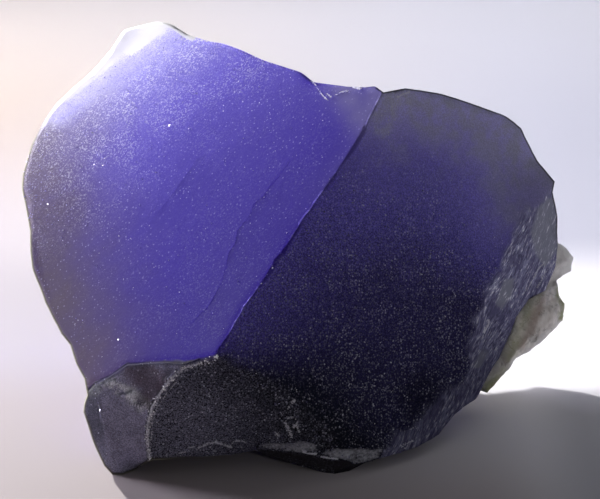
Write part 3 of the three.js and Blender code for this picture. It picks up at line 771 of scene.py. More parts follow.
def sprinkled(m, mask, skin, colour):
    """The fine mottle and the faint and bright dots of the etched faces, and white sparks that are painted
    glints.
    """
    etched = mask.front * (mask.haze.between(0.0, 0.42) * 0.78 + 0.20) + mask.lower + mask.block * 0.45
    patches = m.noise(0.0035, 3.0, 0.6).between(0.40, 0.62)
    foot = mask.haze.between(0.75, 1.0) * mask.front
    in_the_dark = mask.haze.between(0.2, 0.8)
    speckled = mask.front * (mask.haze.between(0.12, 0.50) * 0.75 + 0.30)
    speckled = speckled + mask.lower * 1.9 + mask.block * 0.8
    colour = m.scaled(colour, 1 + speckled * (skin.mottle - 0.5))
    faint = etched * (0.20 + patches * 0.28) * (1 - foot * 0.6) * (1 - mask.front_end * 0.5)
    tint = m.mix(in_the_dark, (0.46, 0.43, 0.72), (0.40, 0.40, 0.50))
    colour = m.mix(skin.faint_dots * faint, colour, tint)
    bright = etched * (0.30 + patches * 0.60) * (1 - foot * 0.4) + mask.block_top * 0.5
    bright = bright + skin.hazy * mask.front * 0.10
    # More bright dots where the lower face has its painted sheen
    bright = bright + mask.lower * (mask.sheen - 0.8).between(0.0, 1.6) * 0.35
    tint = m.mix(in_the_dark, (0.62, 0.60, 0.85), (0.60, 0.60, 0.68))
    colour = m.mix(skin.bright_dots * bright * 0.8, colour, tint)
    colour = m.mix(skin.bright_dots * mask.upper * (mask.glow * 0.5 + 0.03), colour, (0.62, 0.60, 0.92))
    # Painted glints: white sparks, most of them near the peak's painted glow
    return m.mix(skin.sparks * (etched + mask.upper * (0.25 + mask.glow * 0.75)), colour, WHITE)


def crusted(m, mask, skin, s, colour):
    """The ragged crusts and chips, the painted shadow line under the ledge and the painted shade on the
    foot's underside.
    """
    ragged = mask.pale + (skin.fine - 0.5) * 0.6 + (skin.grain - 0.5) * 0.6
    crust = ragged.between(0.26, 0.40) * mask.pale.between(0.02, 0.10)
    colour = m.mix(crust * (0.35 + mask.pale * 0.75), colour, s.crust_white)
    chipped = 0.08 + mask.chip * 0.45 + (skin.wisps - 0.5) * 0.8 + (skin.grain - 0.5) * 1.0
    colour = m.mix(mask.chip.between(0.03, 0.26) * chipped, colour, s.crust_white)
    # Painted shadow line under the ledge
    colour = m.mix(mask.ledge, colour, (0.018, 0.014, 0.045))
    # Painted shade on the foot's underside
    bare = 1 - mask.chip.between(0.02, 0.10)
    return m.mix(mask.under * bare * 0.85, colour, (0.022, 0.019, 0.020))


def edged(m, mask, skin, s, colour):
    """The edge beside the peak painted white as glare, and the thin olive edge that light shines through."""
    frost = skin.strokes + skin.bright_dots + skin.mottle * 0.25
    glare = mask.white.between(0.25, 0.85) + mask.white.between(0.02, 0.6) * frost
    colour = m.mix(glare * (mask.upper + mask.broken), colour, WHITE)
    for near, far, share, rgb in (
        (0.00016, 0.00050, 0.55, s.rim_olive),
        (0.00016, 0.00026, 0.85, darker(s.rim_olive, 0.4)),
        (0.00006, 0.00018, 1.0, s.rim_light),
    ):
        colour = m.mix((1 - mask.rim.between(near, far)) * mask.rim_share * share, colour, rgb)
    brow = (1 - mask.rim.between(0.00012, 0.00028)) * mask.brow_rim
    return m.mix(brow * 0.85, colour, (0.035, 0.037, 0.03))


def fluorite_material(s):
    m = Maker("frosted_fluorite")
    mask = SimpleNamespace(**{name: m.attribute(name) for name in FLUORITE_MASKS})
    skin = SimpleNamespace(
        clouds=m.noise(0.009, 3.0),
        wisps=m.noise(0.0022, 4.0),
        grain=m.noise(0.00042, 2.0, 0.7),
        fine=m.noise(0.00021, 1.0),
        mottle=m.noise(0.0002, 2.0, 0.6).between(0.36, 0.66),
        strokes=m.veins(0.00052, 12).between(0.1, 0.8) * m.noise(0.00032, 1.0).between(0.42, 0.60),
        faint_dots=m.dots(0.00027, 0.62, 0.42, 0.80),
        bright_dots=m.dots(0.00048, 0.34, 0.60, 0.86),
        # sparks: white dots for painted glints
        sparks=m.dots(0.00095, 0.10, 0.70, 0.90),
        hazy=mask.haze.between(0.32, 0.02),
    )
    flow = m.node("ShaderNodeAttribute", {"attribute_name": "flow"}, {}, "Vector")
    silk = m.noise(0.46, 4.0, 0.75, m.stretched(flow, (1.0, 0.14, 1.0)))

    colour = m.mix(mask.upper, front_colour(m, mask, skin, s), upper_colour(m, mask, skin, s))
    colour = m.mix(mask.lower, colour, lower_colour(m, mask, skin, s))
    colour = m.mix(mask.block, colour, block_colour(m, mask, skin, s))
    colour = m.mix(mask.flank, colour, flank_colour(m, mask, flow, silk, s))
    back = m.mix(skin.clouds.between(0.3, 0.7), (0.085, 0.075, 0.26), (0.16, 0.14, 0.36))
    colour = m.mix(mask.broken, colour, back)
    colour = crusted(m, mask, skin, s, sprinkled(m, mask, skin, colour))
    # dim paints shade and light that cancel the lamps' light on rounded edges
    colour = edged(m, mask, skin, s, m.scaled(colour, mask.dim))

    height = skin.grain * 0.6 + skin.fine * 0.25 + m.noise(0.0012, 3.0) * 0.9 + silk * mask.flank * 2.0
    frosted = mask.glow.between(0.8, 1.0) * mask.upper
    absorbed = {"Color": ABSORBED, "Density": ABSORPTION}
    volume = m.node("ShaderNodeVolumeAbsorption", {}, absorbed)
    m.feed(m.tree.nodes["Material Output"].inputs["Volume"], volume)
    return m.finish(
        Base_Color=colour,
        Roughness=0.72 + skin.grain * 0.15 - frosted * 0.25 + mask.crease * 0.25,
        IOR=s.ior,
        Specular_IOR_Level=0.03,
        Transmission_Weight=s.clearness,
        Normal=m.bump(height * (1 - mask.upper * 0.7), 0.00009, 0.8),
    )


def grain_material(name, dark, light, rough, mirror=0.0):
    """Tiny facets, each of its own paleness, which may flash like mirrors."""
    m = Maker(name)
    tone = m.attribute("tone")
    colour = m.mix(tone * tone * tone, dark, light)
    return m.finish(Base_Color=colour, Roughness=rough, Metallic=mirror, IOR=FLUORITE_IOR)


def matrix_material(s):
    m = Maker("pale_matrix")
    olive, brown, glassy, seam = (m.attribute(name) for name in ("olive", "brown", "glassy", "seam"))
    mottle = m.noise(0.0028, 4.0, 0.6)
    streaks = m.noise(0.0011, 3.0, place=m.turned((1.0, 1.0, 0.3), (0, 0.5, 0)))
    grain = m.noise(0.0004, 2.0)
    colour = m.mix(mottle.between(0.40, 0.62), s.milky, darker(s.milky, 0.50))
    colour = m.mix(streaks.between(0.5, 0.8) * 0.45, colour, s.brown)
    cracks = m.veins(0.0022, 40).between(0.0, 1.0) * mottle.between(0.42, 0.58)
    colour = m.mix(cracks * 0.75, colour, (0.16, 0.15, 0.12))
    colour = m.mix(brown, colour, s.brown)
    colour = m.mix(olive * (0.55 + mottle.between(0.3, 0.6) * 0.45), colour, s.olive)
    colour = m.mix(glassy, colour, s.glassy)
    colour = m.mix(seam * 0.55, colour, (0.12, 0.125, 0.13))
    colour = m.mix(grain.between(0.55, 0.75) * 0.25, colour, (0.95, 0.95, 0.9))
    height = mottle + grain * 0.35
    return m.finish(
        Base_Color=colour,
        Roughness=0.30 + grain * 0.25,
        IOR=MATRIX_IOR,
        Transmission_Weight=s.matrix_clearness,
        Normal=m.bump(height, 0.00012, 0.8),
    )


# Pieces


def ragged_lines(points, triangles, right, up, shown):
    """How far ragged lines and chips stand out, and how pale each is, falling off to its edges."""
    rough = lumps(points, 0.0009, 3, 21)
    dots = lumps(points, 0.00045, 2, 33)
    lift = np.zeros(len(points))
    pale = np.zeros(len(points))
    chip = np.zeros(len(points))
    for width, height, shade, line in RAGGED_LINES:
        reach = distance_to(line, right, up) + width * 0.5 * rough
        body = shown * (1 - smoothstep(0.35 * width, width, reach)) * smoothstep(-0.55, 0.05, dots)
        lift = np.maximum(lift, height * MM * body * (0.8 + 0.6 * dots))
        pale = np.maximum(pale, shade * shown * np.clip(1.15 - 1.0 * reach / width, 0, 1))
    for depth, shade, corners in PALE_PATCHES:
        within = inside(corners, right, up)
        reach = distance_to(corners + corners[:1], right, up) * np.where(within, 1, -1)
        patch = spread(within * shown, triangles, 1)
        lift -= depth * MM * patch * (1 + 0.5 * dots)
        chip = np.maximum(chip, shade * shown * np.clip(0.5 + reach / 0.5, 0, 1))
    return lift, pale, chip


def side_of(line, x, y):
    """The distance to a line, positive to the upper left of it, and 0 beyond its ends."""
    across = np.array(line[-1]) - np.array(line[0])
    along = ((x - line[0][0]) * across[0] + (y - line[0][1]) * across[1]) / (across @ across)
    reach = distance_to(line, x, y)
    fade = smoothstep(-0.02, 0.20, along) * (1 - smoothstep(0.80, 1.02, along))
    left = inside(line + [(line[-1][0] - 40, line[-1][1] + 10), (line[0][0] - 40, line[0][1] + 10)], x, y)
    return np.where(left, reach, -reach), fade


def seen_triangles(points, triangles):
    """Which triangles face the viewer."""
    towards = EYE_PLACE - points[triangles[:, 0]]
    return np.einsum("ij,ij->i", face_normals(points, triangles), towards) > 0


def sectors(x, y):
    """The number of the narrow sector around the picture's middle that each place lies in."""
    return ((np.arctan2(y, x) + math.pi) / math.radians(0.3)).astype(int)


def rim_distance(points, triangles, right, up):
    """How far, in mm up to 2, each point appears from the crystal's outline as the viewer sees it."""
    towards = seen_triangles(points, triangles)
    sides, one, other = shared_sides(triangles)
    sides = sides[towards[one] != towards[other]]
    seen = np.stack([right, up], axis=1)
    shares = np.linspace(0, 1, 7)[:, None, None]
    spots = (seen[sides[:, 0]] * (1 - shares) + seen[sides[:, 1]] * shares).reshape(-1, 2)
    radius = np.hypot(*spots.T)
    sector = sectors(*spots.T)
    farthest = np.zeros(sector.max() + 1)
    np.maximum.at(farthest, sector, radius)
    spots = spots[radius > farthest[sector] - 0.3]
    tree = KDTree(len(spots))
    for index, spot in enumerate(spots):
        tree.insert((*spot, 0), index)
    tree.balance()
    radius = np.hypot(right, up)
    sector = sectors(right, up).clip(0, len(farthest) - 1)
    reach = np.full(len(points), 2.0)
    for index in np.nonzero(radius > farthest[sector] - 4)[0]:
        reach[index] = min(2.0, tree.find((*seen[index], 0))[2])
    return reach


def growth_line(points, right, up):
    """The painted highlight and shade beside the growth steps: above 0 for the painted highlight on the pale
    side, and below 0 for the painted shade on the dark side.
    """
    tone = np.zeros(len(right))
    wiggle = 0.12 * lumps(points, 0.0012, 3, 63)
    presence = 0.6 + 0.6 * lumps(points, 0.004, 2, 65)
    for share, line in ((1.0, GROWTH_STEP), (0.5, LEFT_STEP)):
        distance, fade = side_of(line, right + wiggle, up + wiggle)
        pale_side = 0.25 * np.exp(-np.maximum(distance, 0) / 0.2) * (distance > 0)
        dark_side = np.exp(np.minimum(distance, 0) / 0.2) + 0.5 * np.exp(np.minimum(distance, 0) / 4)
        tone += share * fade * presence * (pale_side - dark_side * (distance <= 0))
    return tone


def growth_steps(right, up, upper, s):
    """The upper face's left part stands above the band beside the long edge by a thin, crisp step."""
    lift = np.zeros(len(right))
    for share, line in ((1.0, GROWTH_STEP), (0.5, LEFT_STEP)):
        distance, fade = side_of(line, right, up)
        rise = smoothstep(-0.12, 0.12, distance) * np.exp(-np.maximum(distance, 0) / 4)
        lift += share * s.step_height * rise * fade * upper
    return lift


def lamp_light(points, out):
    """About how much of the lamps' light falls on skin that faces out."""
    total = np.full(len(points), AMBIENT)
    for place, strength in LAMP_SHARES:
        towards = np.array(place) - points
        towards /= np.linalg.norm(towards, axis=1, keepdims=True)
        facing = np.einsum("ij,ij->i", towards, np.broadcast_to(out, points.shape))
        total += strength * np.maximum(0, facing)
    return total


def evenly_lit(points, out, masks, visible):
    """How much darker or lighter skin is painted, as painted shade and light that cancel the lamps' light on
    a face's rounded edges, so that they look like its middle.
    """
    actual = lamp_light(points, out)
    wanted = actual.copy()
    for name in ("upper", "front", "lower", "block"):
        core = masks[name] > 0.9
        for _ in range(3):
            middle = out[core].sum(axis=0)
            middle /= np.linalg.norm(middle)
            core = (masks[name] > 0.9) & (out @ middle > 0.94)
        wanted += np.minimum(masks[name], 1) * (lamp_light(points, middle) - actual)
    return 1 + visible * (np.clip(wanted / actual, 0.10, 2.0 - 0.9 * masks["crease"]) - 1)


# The height of the steps between the broken back's cleavage planes
TREAD = 0.0021


def cleaved(points, out):
    """How far the back stands out where it split along the crystal's slanting cleavage planes."""
    frame_of_cube = np.array(cube_axes())
    lift = np.zeros(len(points))
    weight_sum = np.zeros(len(points)) + 1e-9
    for n, signs in enumerate([(1, 1, 1), (1, 1, -1), (1, -1, 1), (-1, 1, 1)]):
        plane = (np.array(signs) @ frame_of_cube) / math.sqrt(3)
        height = points @ plane + 0.0022 * lumps(points, 0.012, 2, 70 + n)
        part = height / TREAD - np.floor(height / TREAD)
        stepped = (smoothstep(0.78, 1.0, part) - part) * TREAD
        facing = np.abs(out @ plane) ** 6
        lift += facing * stepped * np.sign(out @ plane)
        weight_sum += facing
    return lift / weight_sum


def flank_flow(right, up):
    """Places across and along the flank's striations, which bend a little."""
    along = -0.47 * right - 0.883 * up
    across = 0.883 * right - 0.47 * up
    bend = 1.2 * noise(np.stack([across, along, 0 * up], axis=1) * MM, 0.006, 45)
    return np.stack([across + bend, along, 0.3 * right], axis=1)


def near_line(line, right, up, full, none):
    """1 within the first distance of a line, and 0 beyond the second."""
    return 1 - smoothstep(full, none, distance_to(line, right, up))


def upper_masks(masks, points, right, up):
    """The upper face's tones: how near the peak, the left side, the notch and the long edge are."""
    upper = masks["upper"]
    depth = PEAK_DIRECTION[0] * (right - PEAK[0]) + PEAK_DIRECTION[1] * (PEAK[1] - up)
    # glow: the painted glow of light coming through from behind, fading with the distance from the peak
    masks["glow"] = np.clip(0.909 - depth / 44, 0, 1)
    margin = right + 0.17 * up + 3 * lumps(points, 0.006, 3, 17)
    # white: painted glare along the white edge, over the peak's cap and beside the peak
    ragged_white = 0.5 * lumps(points, 0.0022, 4, 67)
    white = distance_to(WHITE_EDGE, right, up) + ragged_white
    width = np.interp(up, [18.5, 20.5, 23.0, 26.0, 29.0, 32.0], [0.3, 0.8, 1.2, 1.7, 2.3, 2.0])
    cap = distance_to(PEAK_CAP, right, up) + ragged_white
    masks["white"] = np.maximum(1 - smoothstep(0.35, 1.25, white / width), 1 - smoothstep(0.8, 1.9, cap))
    masks["white"] = np.maximum(masks["white"], near_line(BESIDE_PEAK, right, up, 0.25, 0.6))
    masks["left"] = 0.86 * (1 - smoothstep(-37, -17, margin)) * smoothstep(1.5, 4.5, white)
    # corner: the painted glow of light through the thin corner beside the notch
    masks["corner"] = upper * np.exp(-((distance_to(NOTCH, right, up) / 2.4) ** 2))
    masks["edge"] = np.exp(-distance_to(LONG_EDGE, right, up) / 2.5) * smoothstep(0, 12, up) * upper
    creases = np.minimum(distance_to(LONG_EDGE, right, up), distance_to(LEDGE, right, up))
    masks["crease"] = np.exp(-((creases / 0.7) ** 2))


def dark_face_masks(masks, points, triangles, right, up, shown):
    """The tones of the front, the lower face and the small block."""
    lower_right = smoothstep(12, 24, right) * smoothstep(6, -8, up)
    # haze: how far from the brow, along which the front's painted light fades into painted shade towards the
    # table
    masks["haze"] = np.clip(distance_to(BROW, right, up) / 46 + 0.2 * lower_right, 0, 1)
    # sheen: the lower face's painted sheen, lighter towards its lower left
    masks["sheen"] = np.clip(-3.10 - 0.14 * right - 0.152 * up, 0.8, 3.2)
    # low: the flank's painted shade, darker towards the table
    masks["low"] = smoothstep(-3, -20, up)
    dark_end = 1.3 * (1 - smoothstep(1.5, 5.5, np.hypot(right - DARK_END[0], up - DARK_END[1])))
    masks["front_end"] = np.maximum(smoothstep(24, 33, right) * smoothstep(16, 9, up), dark_end)
    # under: painted shade on the foot's underside
    masks["under"] = spread(inside(UNDERSIDE, right, up) * shown, triangles, 2)
    # inner: the front's painted glow of light through the crystal beside the long edge
    beside = np.exp(-distance_to(LONG_EDGE, right, up) / 8)
    masks["inner"] = 0.75 * beside * smoothstep(20, 10, up) * smoothstep(-20, -10, up)
    ragged_edge = 0.9 * lumps(points, 0.0016, 3, 81)
    maroon = distance_to(MAROON, right, up) + ragged_edge
    masks["block_top"] = masks["block"] * (1 - smoothstep(0.9, 2.4, maroon))
    grey_bits = distance_to(GREY_BITS, right, up) + ragged_edge
    masks["block_bits"] = masks["block"] * (1 - smoothstep(0.5, 1.5, grey_bits))


def edge_masks(masks, rim, right, up):
    """How far the outline is, and where its olive edge and the brow's dark edge show."""
    masks["rim"] = MM * rim
    masks["rim_share"] = smoothstep(19, 12, up) * smoothstep(-15, -20, right)
    masks["brow_rim"] = smoothstep(10, 12, right) * smoothstep(-2, 4, up)


def claim_outline(masks, visible, rim, right, up):
    """Gives the strip along the outline to the faces that it seems to belong to."""
    strip = visible * (1 - smoothstep(1.0, 1.6, rim))
    for name, corners in REGIONS.items():
        side = strip * inside(corners, right, up)
        masks[name] = np.maximum(masks[name], side)
        masks["broken"] = masks["broken"] * (1 - side)


def small_masks(masks, points, triangles, right, up, visible):
    """The painted shadow line under the ledge, the flank's facets, the weathered bits on the brow and the
    painted highlight and shade of the growth steps.
    """
    # ledge: the painted shadow line under the ledge
    ledge = distance_to(LEDGE[1:], right, up) + 0.08 * lumps(points, 0.0007, 2, 87)
    masks["ledge"] = (1 - smoothstep(0.08, 0.28, ledge)) * visible
    facet = sum(inside(corners, right, up) for corners in FACETS)
    masks["facet"] = spread(masks["flank"] * facet, triangles, 2)
    weathered = distance_to(WEATHERED, right, up) + 0.8 * lumps(points, 0.0016, 3, 69)
    masks["weathered"] = masks["front"] * (1 - smoothstep(0.8, 2.4, weathered))
    # step: the painted highlight and shade beside the growth steps
    masks["step"] = growth_line(points, right, up) * masks["upper"]


def scatter_masks(masks, right, up, shown, clear_of_table):
    """How thickly the grains, specks and crumbs lie."""
    dark_front = masks["front"] * smoothstep(0.26, 0.48, masks["haze"])
    dark_faces = dark_front + masks["lower"] + 0.3 * masks["block"]
    masks["grains"] = dark_faces * shown * clear_of_table * (1 - 0.8 * masks["under"])
    masks["specks"] = masks["upper"] * (0.05 + 0.9 * smoothstep(0.5, 0.85, masks["glow"])) * shown
    masks["specks"] *= masks["white"] < 0.02
    masks["crumbs"] = near_line(BLOCK_RIDGE, right, up, 0.15, 0.5) * shown * clear_of_table


def crystal_detail(points, triangles, s):
    """Raises the etched skin, striations, lines and chips, and returns the masks that colour them."""
    out = normals(points, triangles)
    masks, right, up = face_masks(points, out, triangles)
    shown = 1 - masks["broken"]
    on_table = smoothstep(0.0001, 0.002, points[:, 2])
    clear_of_table = smoothstep(0.0005, 0.0012, points[:, 2])
    away = masks.pop("away")
    facing = masks.pop("facing")
    rim = rim_distance(points, triangles, right, up)
    hidden = smoothstep(0.15, 0.6, away) * smoothstep(0.3, 1.8, rim)
    ragged, masks["pale"], masks["chip"] = ragged_lines(points, triangles, right, up, shown)
    masks["flow"] = flank_flow(right, up)
    striations = lumps(masks["flow"] * np.array([1.0, 0.11, 1.0]) * MM, 0.0011, 4, 41)

    lift = s.skin_height * lumps(points, 0.0009, 3, 51) * (0.25 + masks["front"] + 1.8 * masks["lower"])
    lift += s.striation_height * masks["flank"] * striations
    lift += growth_steps(right, up, masks["upper"], s)
    lift += ragged
    lift += hidden * (0.8 * cleaved(points, out) + 0.00012 * lumps(points, 0.0015, 3, 61))
    points = points + out * (lift * on_table)[:, None]

    upper_masks(masks, points, right, up)
    dark_face_masks(masks, points, triangles, right, up, shown)
    edge_masks(masks, rim, right, up)
    visible = np.maximum(smoothstep(0.5, 0.2, away), smoothstep(-0.15, 0.0, facing))
    visible[triangles[seen_triangles(points, triangles)]] = 1
    claim_outline(masks, visible, rim, right, up)
    masks["dim"] = evenly_lit(points, normals(points, triangles), masks, visible)
    small_masks(masks, points, triangles, right, up, visible)
    scatter_masks(masks, right, up, shown, clear_of_table)
    return points, masks


def dress(node, points, triangles, attributes, material):
    """Puts a dressed piece in the place of a CAD node."""
    piece = make_object("dressed_" + node, points, triangles, attributes, material)
    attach(piece, "root")
    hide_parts(node)


class FLUORITE_OT_crystal(bpy.types.Operator):
    """Dress the fluorite crystal's solid with its etched faces, striated flank and crusts"""

    bl_idname = "fluorite.crystal"
    bl_label = "Fluorite crystal"

    def execute(self, context):
        s = context.scene.fluorite_crystal
        points, triangles = merged("fluorite_crystal")
        points, triangles = split_sides(points, triangles, lambda middles: self.longest(middles, s))
        points = ease(points, triangles, 12, math.radians(20))
        right, up, back = sighted(points)
        points = evened(points, self.inner_upper(points, triangles), np.array(cube_axes()[0]), right, up)
        points, masks = crystal_detail(points, triangles, s)
        dress("fluorite_crystal", points, triangles, masks, fluorite_material(s))
        print("crystal triangles", len(triangles))
        return {"FINISHED"}

    def inner_upper(self, points, triangles):
        """The upper face without the strips along its edges."""
        masks, right, up = face_masks(points, normals(points, triangles), triangles)
        margin = distance_to(LONG_EDGE + LEDGE[1:], right, up)
        for line, width in ((LEFT_RIM[:-6], 4), (WHITE_EDGE, 8), (TOP_EDGE, 5)):
            margin = np.minimum(margin, distance_to(line, right, up) / width)
        return (masks["upper"] > 0.9) * smoothstep(0.02, 0.30, margin)

    def longest(self, middles, s):
        """Short sides near lines and chips, longer ones on even faces, the longest on the back."""
        right, up, back = sighted(middles)
        plain = s.face_side + (s.back_side - s.face_side) * smoothstep(25, 50, back)
        flank = inside(REGIONS["flank"], right, up) & (back < 46)
        plain = np.where(flank, np.minimum(plain, s.flank_side), plain)
        reach = np.full(len(middles), 1e9)
        for width, height, shade, line in RAGGED_LINES:
            reach = np.minimum(reach, distance_to(line, right, up) - width)
        for depth, shade, corners in PALE_PATCHES:
            reach = np.minimum(reach, distance_to(corners + corners[:1], right, up) - 0.2)
            reach = np.where(inside(corners, right, up), 0, reach)
        for line in (GROWTH_STEP, LEFT_STEP, LONG_EDGE, LEDGE):
            reach = np.minimum(reach, distance_to(line, right, up) - 0.1)
        near = 1 - smoothstep(0.1, 1.0, reach)
        near *= back < 30 + 15 * (right > 20)
        outline = distance_to(LEFT_RIM[-7::-1] + WHITE_EDGE[::-1] + TOP_EDGE[1:], right, up)
        near = np.maximum(near, 0.75 * (1 - smoothstep(0.2, 0.8, outline)) * (back < 60))
        return plain + (s.line_side - plain) * near


class FLUORITE_OT_matrix(bpy.types.Operator):
    """Dress the pale matrix that the crystal grew on"""

    bl_idname = "fluorite.matrix"
    bl_label = "Pale matrix"

    def execute(self, context):
        s = context.scene.fluorite_matrix
        points, triangles = merged("pale_matrix")
        points, triangles = split_sides(points, triangles, lambda spots: np.full(len(spots), s.matrix_side))
        points = ease(points, triangles, 6, math.radians(24))
        out = normals(points, triangles)
        right, up, back = sighted(points)
        lift = s.lump_height * lumps(points, 0.0024, 4, 91) + 0.0001 * lumps(points, 0.0006, 2, 95)
        masks = self.zones(points, right, up)
        dress("pale_matrix", points + out * lift[:, None], triangles, masks, matrix_material(s))
        print("matrix triangles", len(triangles))
        return {"FINISHED"}

    def zones(self, points, right, up):
        """Where the matrix is olive, brown and glassy."""
        wander = 0.5 * lumps(points, 0.0015, 3, 97)

        def near(line, start, width):
            return np.clip(start - (distance_to(line, right, up) + wander) / width, 0, 1)

        beside_flank = 0.6 * near(MATRIX_FLANK, 1.2, 1.0)
        return {
            "olive": near(MATRIX_OUTER, 1.4, 0.7) + near(MATRIX_FOOT, 1.3, 1.3) + beside_flank,
            "brown": 0.75 * near(BROWN_STREAK, 1.2, 0.8),
            "seam": np.clip(1.2 - distance_to(FLANK_FOOT, right, up) / 0.9, 0, 1),
            "glassy": 0.8 * near(GLASSY_EDGE, 1.2, 0.6) + 0.85 * near(KNOB, 1.2, 2.0),
        }


def cube_axes():
    """The crystal's cube edges: square to its upper face, its front face, and both."""
    upper = Vector((-0.538, -0.399, 0.744)).normalized()
    front = Vector((0.555, -0.799, 0.232))
    front = (front - upper * front.dot(upper)).normalized()
    return [tuple(upper), tuple(front), tuple(upper.cross(front))]


class Tree:
    """Builds one geometry node tree."""

    def __init__(self, name):
        self.tree = bpy.data.node_groups.new(name, "GeometryNodeTree")
        self.tree.interface.new_socket("Geometry", in_out="INPUT", socket_type="NodeSocketGeometry")
        self.tree.interface.new_socket("Geometry", in_out="OUTPUT", socket_type="NodeSocketGeometry")
        self.start = self.tree.nodes.new("NodeGroupInput")
        self.end = self.tree.nodes.new("NodeGroupOutput")

    def input(self, name, kind, default):
        socket = self.tree.interface.new_socket(name, in_out="INPUT", socket_type="NodeSocket" + kind)
        socket.default_value = default
        return self.start.outputs[name]

    def add(self, kind, settings=None, inputs=None, output=0):
        node = self.tree.nodes.new(kind)
        for key, value in (settings or {}).items():
            setattr(node, key, value)
        for key, value in (inputs or {}).items():
            if isinstance(value, bpy.types.NodeSocket):
                self.tree.links.new(value, node.inputs[key])
            else:
                node.inputs[key].default_value = value
        return node.outputs[output]


# How much smaller or larger a scattered shape may be along each side, and how deep a speck sits in the skin
SMALLEST = (0.5, 0.5, 0.5)
LARGEST = (1.4, 1.4, 1.4)
SPECK_DEPTH = 0.45


def scatter_tree(name, share, round_shape, material):
    """Sets small turned shapes into a mesh's skin, as thickly as the named attribute says."""
    t = Tree(name)
    size = t.input("Size", "Float", 0.0002)
    density = t.input("Density", "Float", 1e6)
    tilt = t.input("Tilt", "Float", 0.5)
    depth = t.input("Depth", "Float", 0.0)
    seed = t.input("Seed", "Int", 1)
    thickness = t.add("GeometryNodeInputNamedAttribute", {"data_type": "FLOAT"}, {"Name": share})
    density = t.add("ShaderNodeMath", {"operation": "MULTIPLY"}, {0: density, 1: thickness})
    mesh = t.start.outputs["Geometry"]
    spread_out = {"Mesh": mesh, "Density": density, "Seed": seed}
    spots = t.add("GeometryNodeDistributePointsOnFaces", {}, spread_out)
    inwards = t.add("ShaderNodeMath", {"operation": "MULTIPLY"}, {0: depth, 1: -1.0})
    outwards = spots.node.outputs["Normal"]
    sunk = t.add("ShaderNodeVectorMath", {"operation": "SCALE"}, {0: outwards, "Scale": inwards})
    points = t.add("GeometryNodeSetPosition", {}, {"Geometry": spots, "Offset": sunk})
    if round_shape:
        shape = t.add("GeometryNodeMeshIcoSphere", {}, {"Radius": 0.5, "Subdivisions": 1})
    else:
        cube = t.add("GeometryNodeMeshCube", {}, {"Size": (1, 1, 1)})
        turn = Matrix(cube_axes()).transposed().to_euler()
        shape = t.add("GeometryNodeTransform", {}, {"Geometry": cube, "Rotation": turn})
    least = t.add("ShaderNodeMath", {"operation": "MULTIPLY"}, {0: tilt, 1: -1.0})
    vector = {"data_type": "FLOAT_VECTOR"}
    turned = t.add("FunctionNodeRandomValue", vector, {"Min": least, "Max": tilt, "Seed": seed})
    scale = t.add("FunctionNodeRandomValue", vector, {"Min": SMALLEST, "Max": LARGEST})
    scale = t.add("ShaderNodeVectorMath", {"operation": "SCALE"}, {0: scale, "Scale": size})
    places = {"Points": points, "Instance": shape, "Rotation": turned, "Scale": scale}
    placed = t.add("GeometryNodeInstanceOnPoints", {}, places)
    tone = t.add("FunctionNodeRandomValue", {"data_type": "FLOAT"}, {}, 1)
    on_instances = {"data_type": "FLOAT", "domain": "INSTANCE"}
    named = {"Geometry": placed, "Name": "tone", "Value": tone}
    placed = t.add("GeometryNodeStoreNamedAttribute", on_instances, named)
    real = t.add("GeometryNodeRealizeInstances", {}, {"Geometry": placed})
    real = t.add("GeometryNodeSetMaterial", {}, {"Geometry": real, "Material": material})
    t.tree.links.new(real, t.end.inputs["Geometry"])
    return t.tree


def scatter(name, carrier, tree, inputs, material):
    """Makes the shapes that a tree spreads over a piece, as a plain mesh of their own."""
    host = bpy.data.objects.new(name + "_host", carrier.data)
    bpy.context.scene.collection.objects.link(host)
    modifier = host.modifiers.new(name, "NODES")
    modifier.node_group = tree
    for item in tree.interface.items_tree:
        if item.in_out == "INPUT" and item.name in inputs:
            modifier[item.identifier] = inputs[item.name]
    evaluated = host.evaluated_get(bpy.context.evaluated_depsgraph_get())
    mesh = bpy.data.meshes.new_from_object(evaluated)
    bpy.data.objects.remove(host)
    mesh.name = name
    if not mesh.materials:
        mesh.materials.append(material)
    piece = bpy.data.objects.new(name, mesh)
    bpy.context.scene.collection.objects.link(piece)
    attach(piece, "root")
    print(name, "faces", len(mesh.polygons))


class FLUORITE_OT_grains(bpy.types.Operator):
    """Scatter the etched micro cubes over the faces and the crumbs along the ragged ridges"""

    bl_idname = "fluorite.grains"
    bl_label = "Etched grains and crumbs"

    def execute(self, context):
        s = context.scene.fluorite_grains
        carrier = bpy.data.objects["dressed_fluorite_crystal"]
        glint = grain_material("etched_grain", (0.20, 0.19, 0.30), (0.88, 0.90, 1.0), 0.22, 0.4)
        frost = grain_material("frost_speck", (0.34, 0.30, 0.80), (0.95, 0.95, 1.0), 0.3)
        crumb = grain_material("ridge_crumb", (0.30, 0.29, 0.34), (1.0, 1.0, 1.0), 0.4)
        grains = {"Size": s.grain_size, "Density": s.grain_density, "Tilt": s.grain_tilt, "Seed": s.seed}
        specks = {"Size": s.speck_size, "Density": s.speck_density, "Tilt": s.grain_tilt, "Seed": s.seed + 2}
        specks["Depth"] = SPECK_DEPTH * s.speck_size
        crumbs = {"Size": s.rubble_size, "Density": s.rubble_density, "Tilt": math.pi, "Seed": s.seed + 1}
        for name, thickness, round_shape, material, inputs in (
            ("etched_grains", "grains", False, glint, grains),
            ("frost_specks", "specks", False, frost, specks),
            ("ridge_crumbs", "crumbs", True, crumb, crumbs),
        ):
            tree = scatter_tree(name, thickness, round_shape, material)
            scatter(name, carrier, tree, inputs, material)
        return {"FINISHED"}


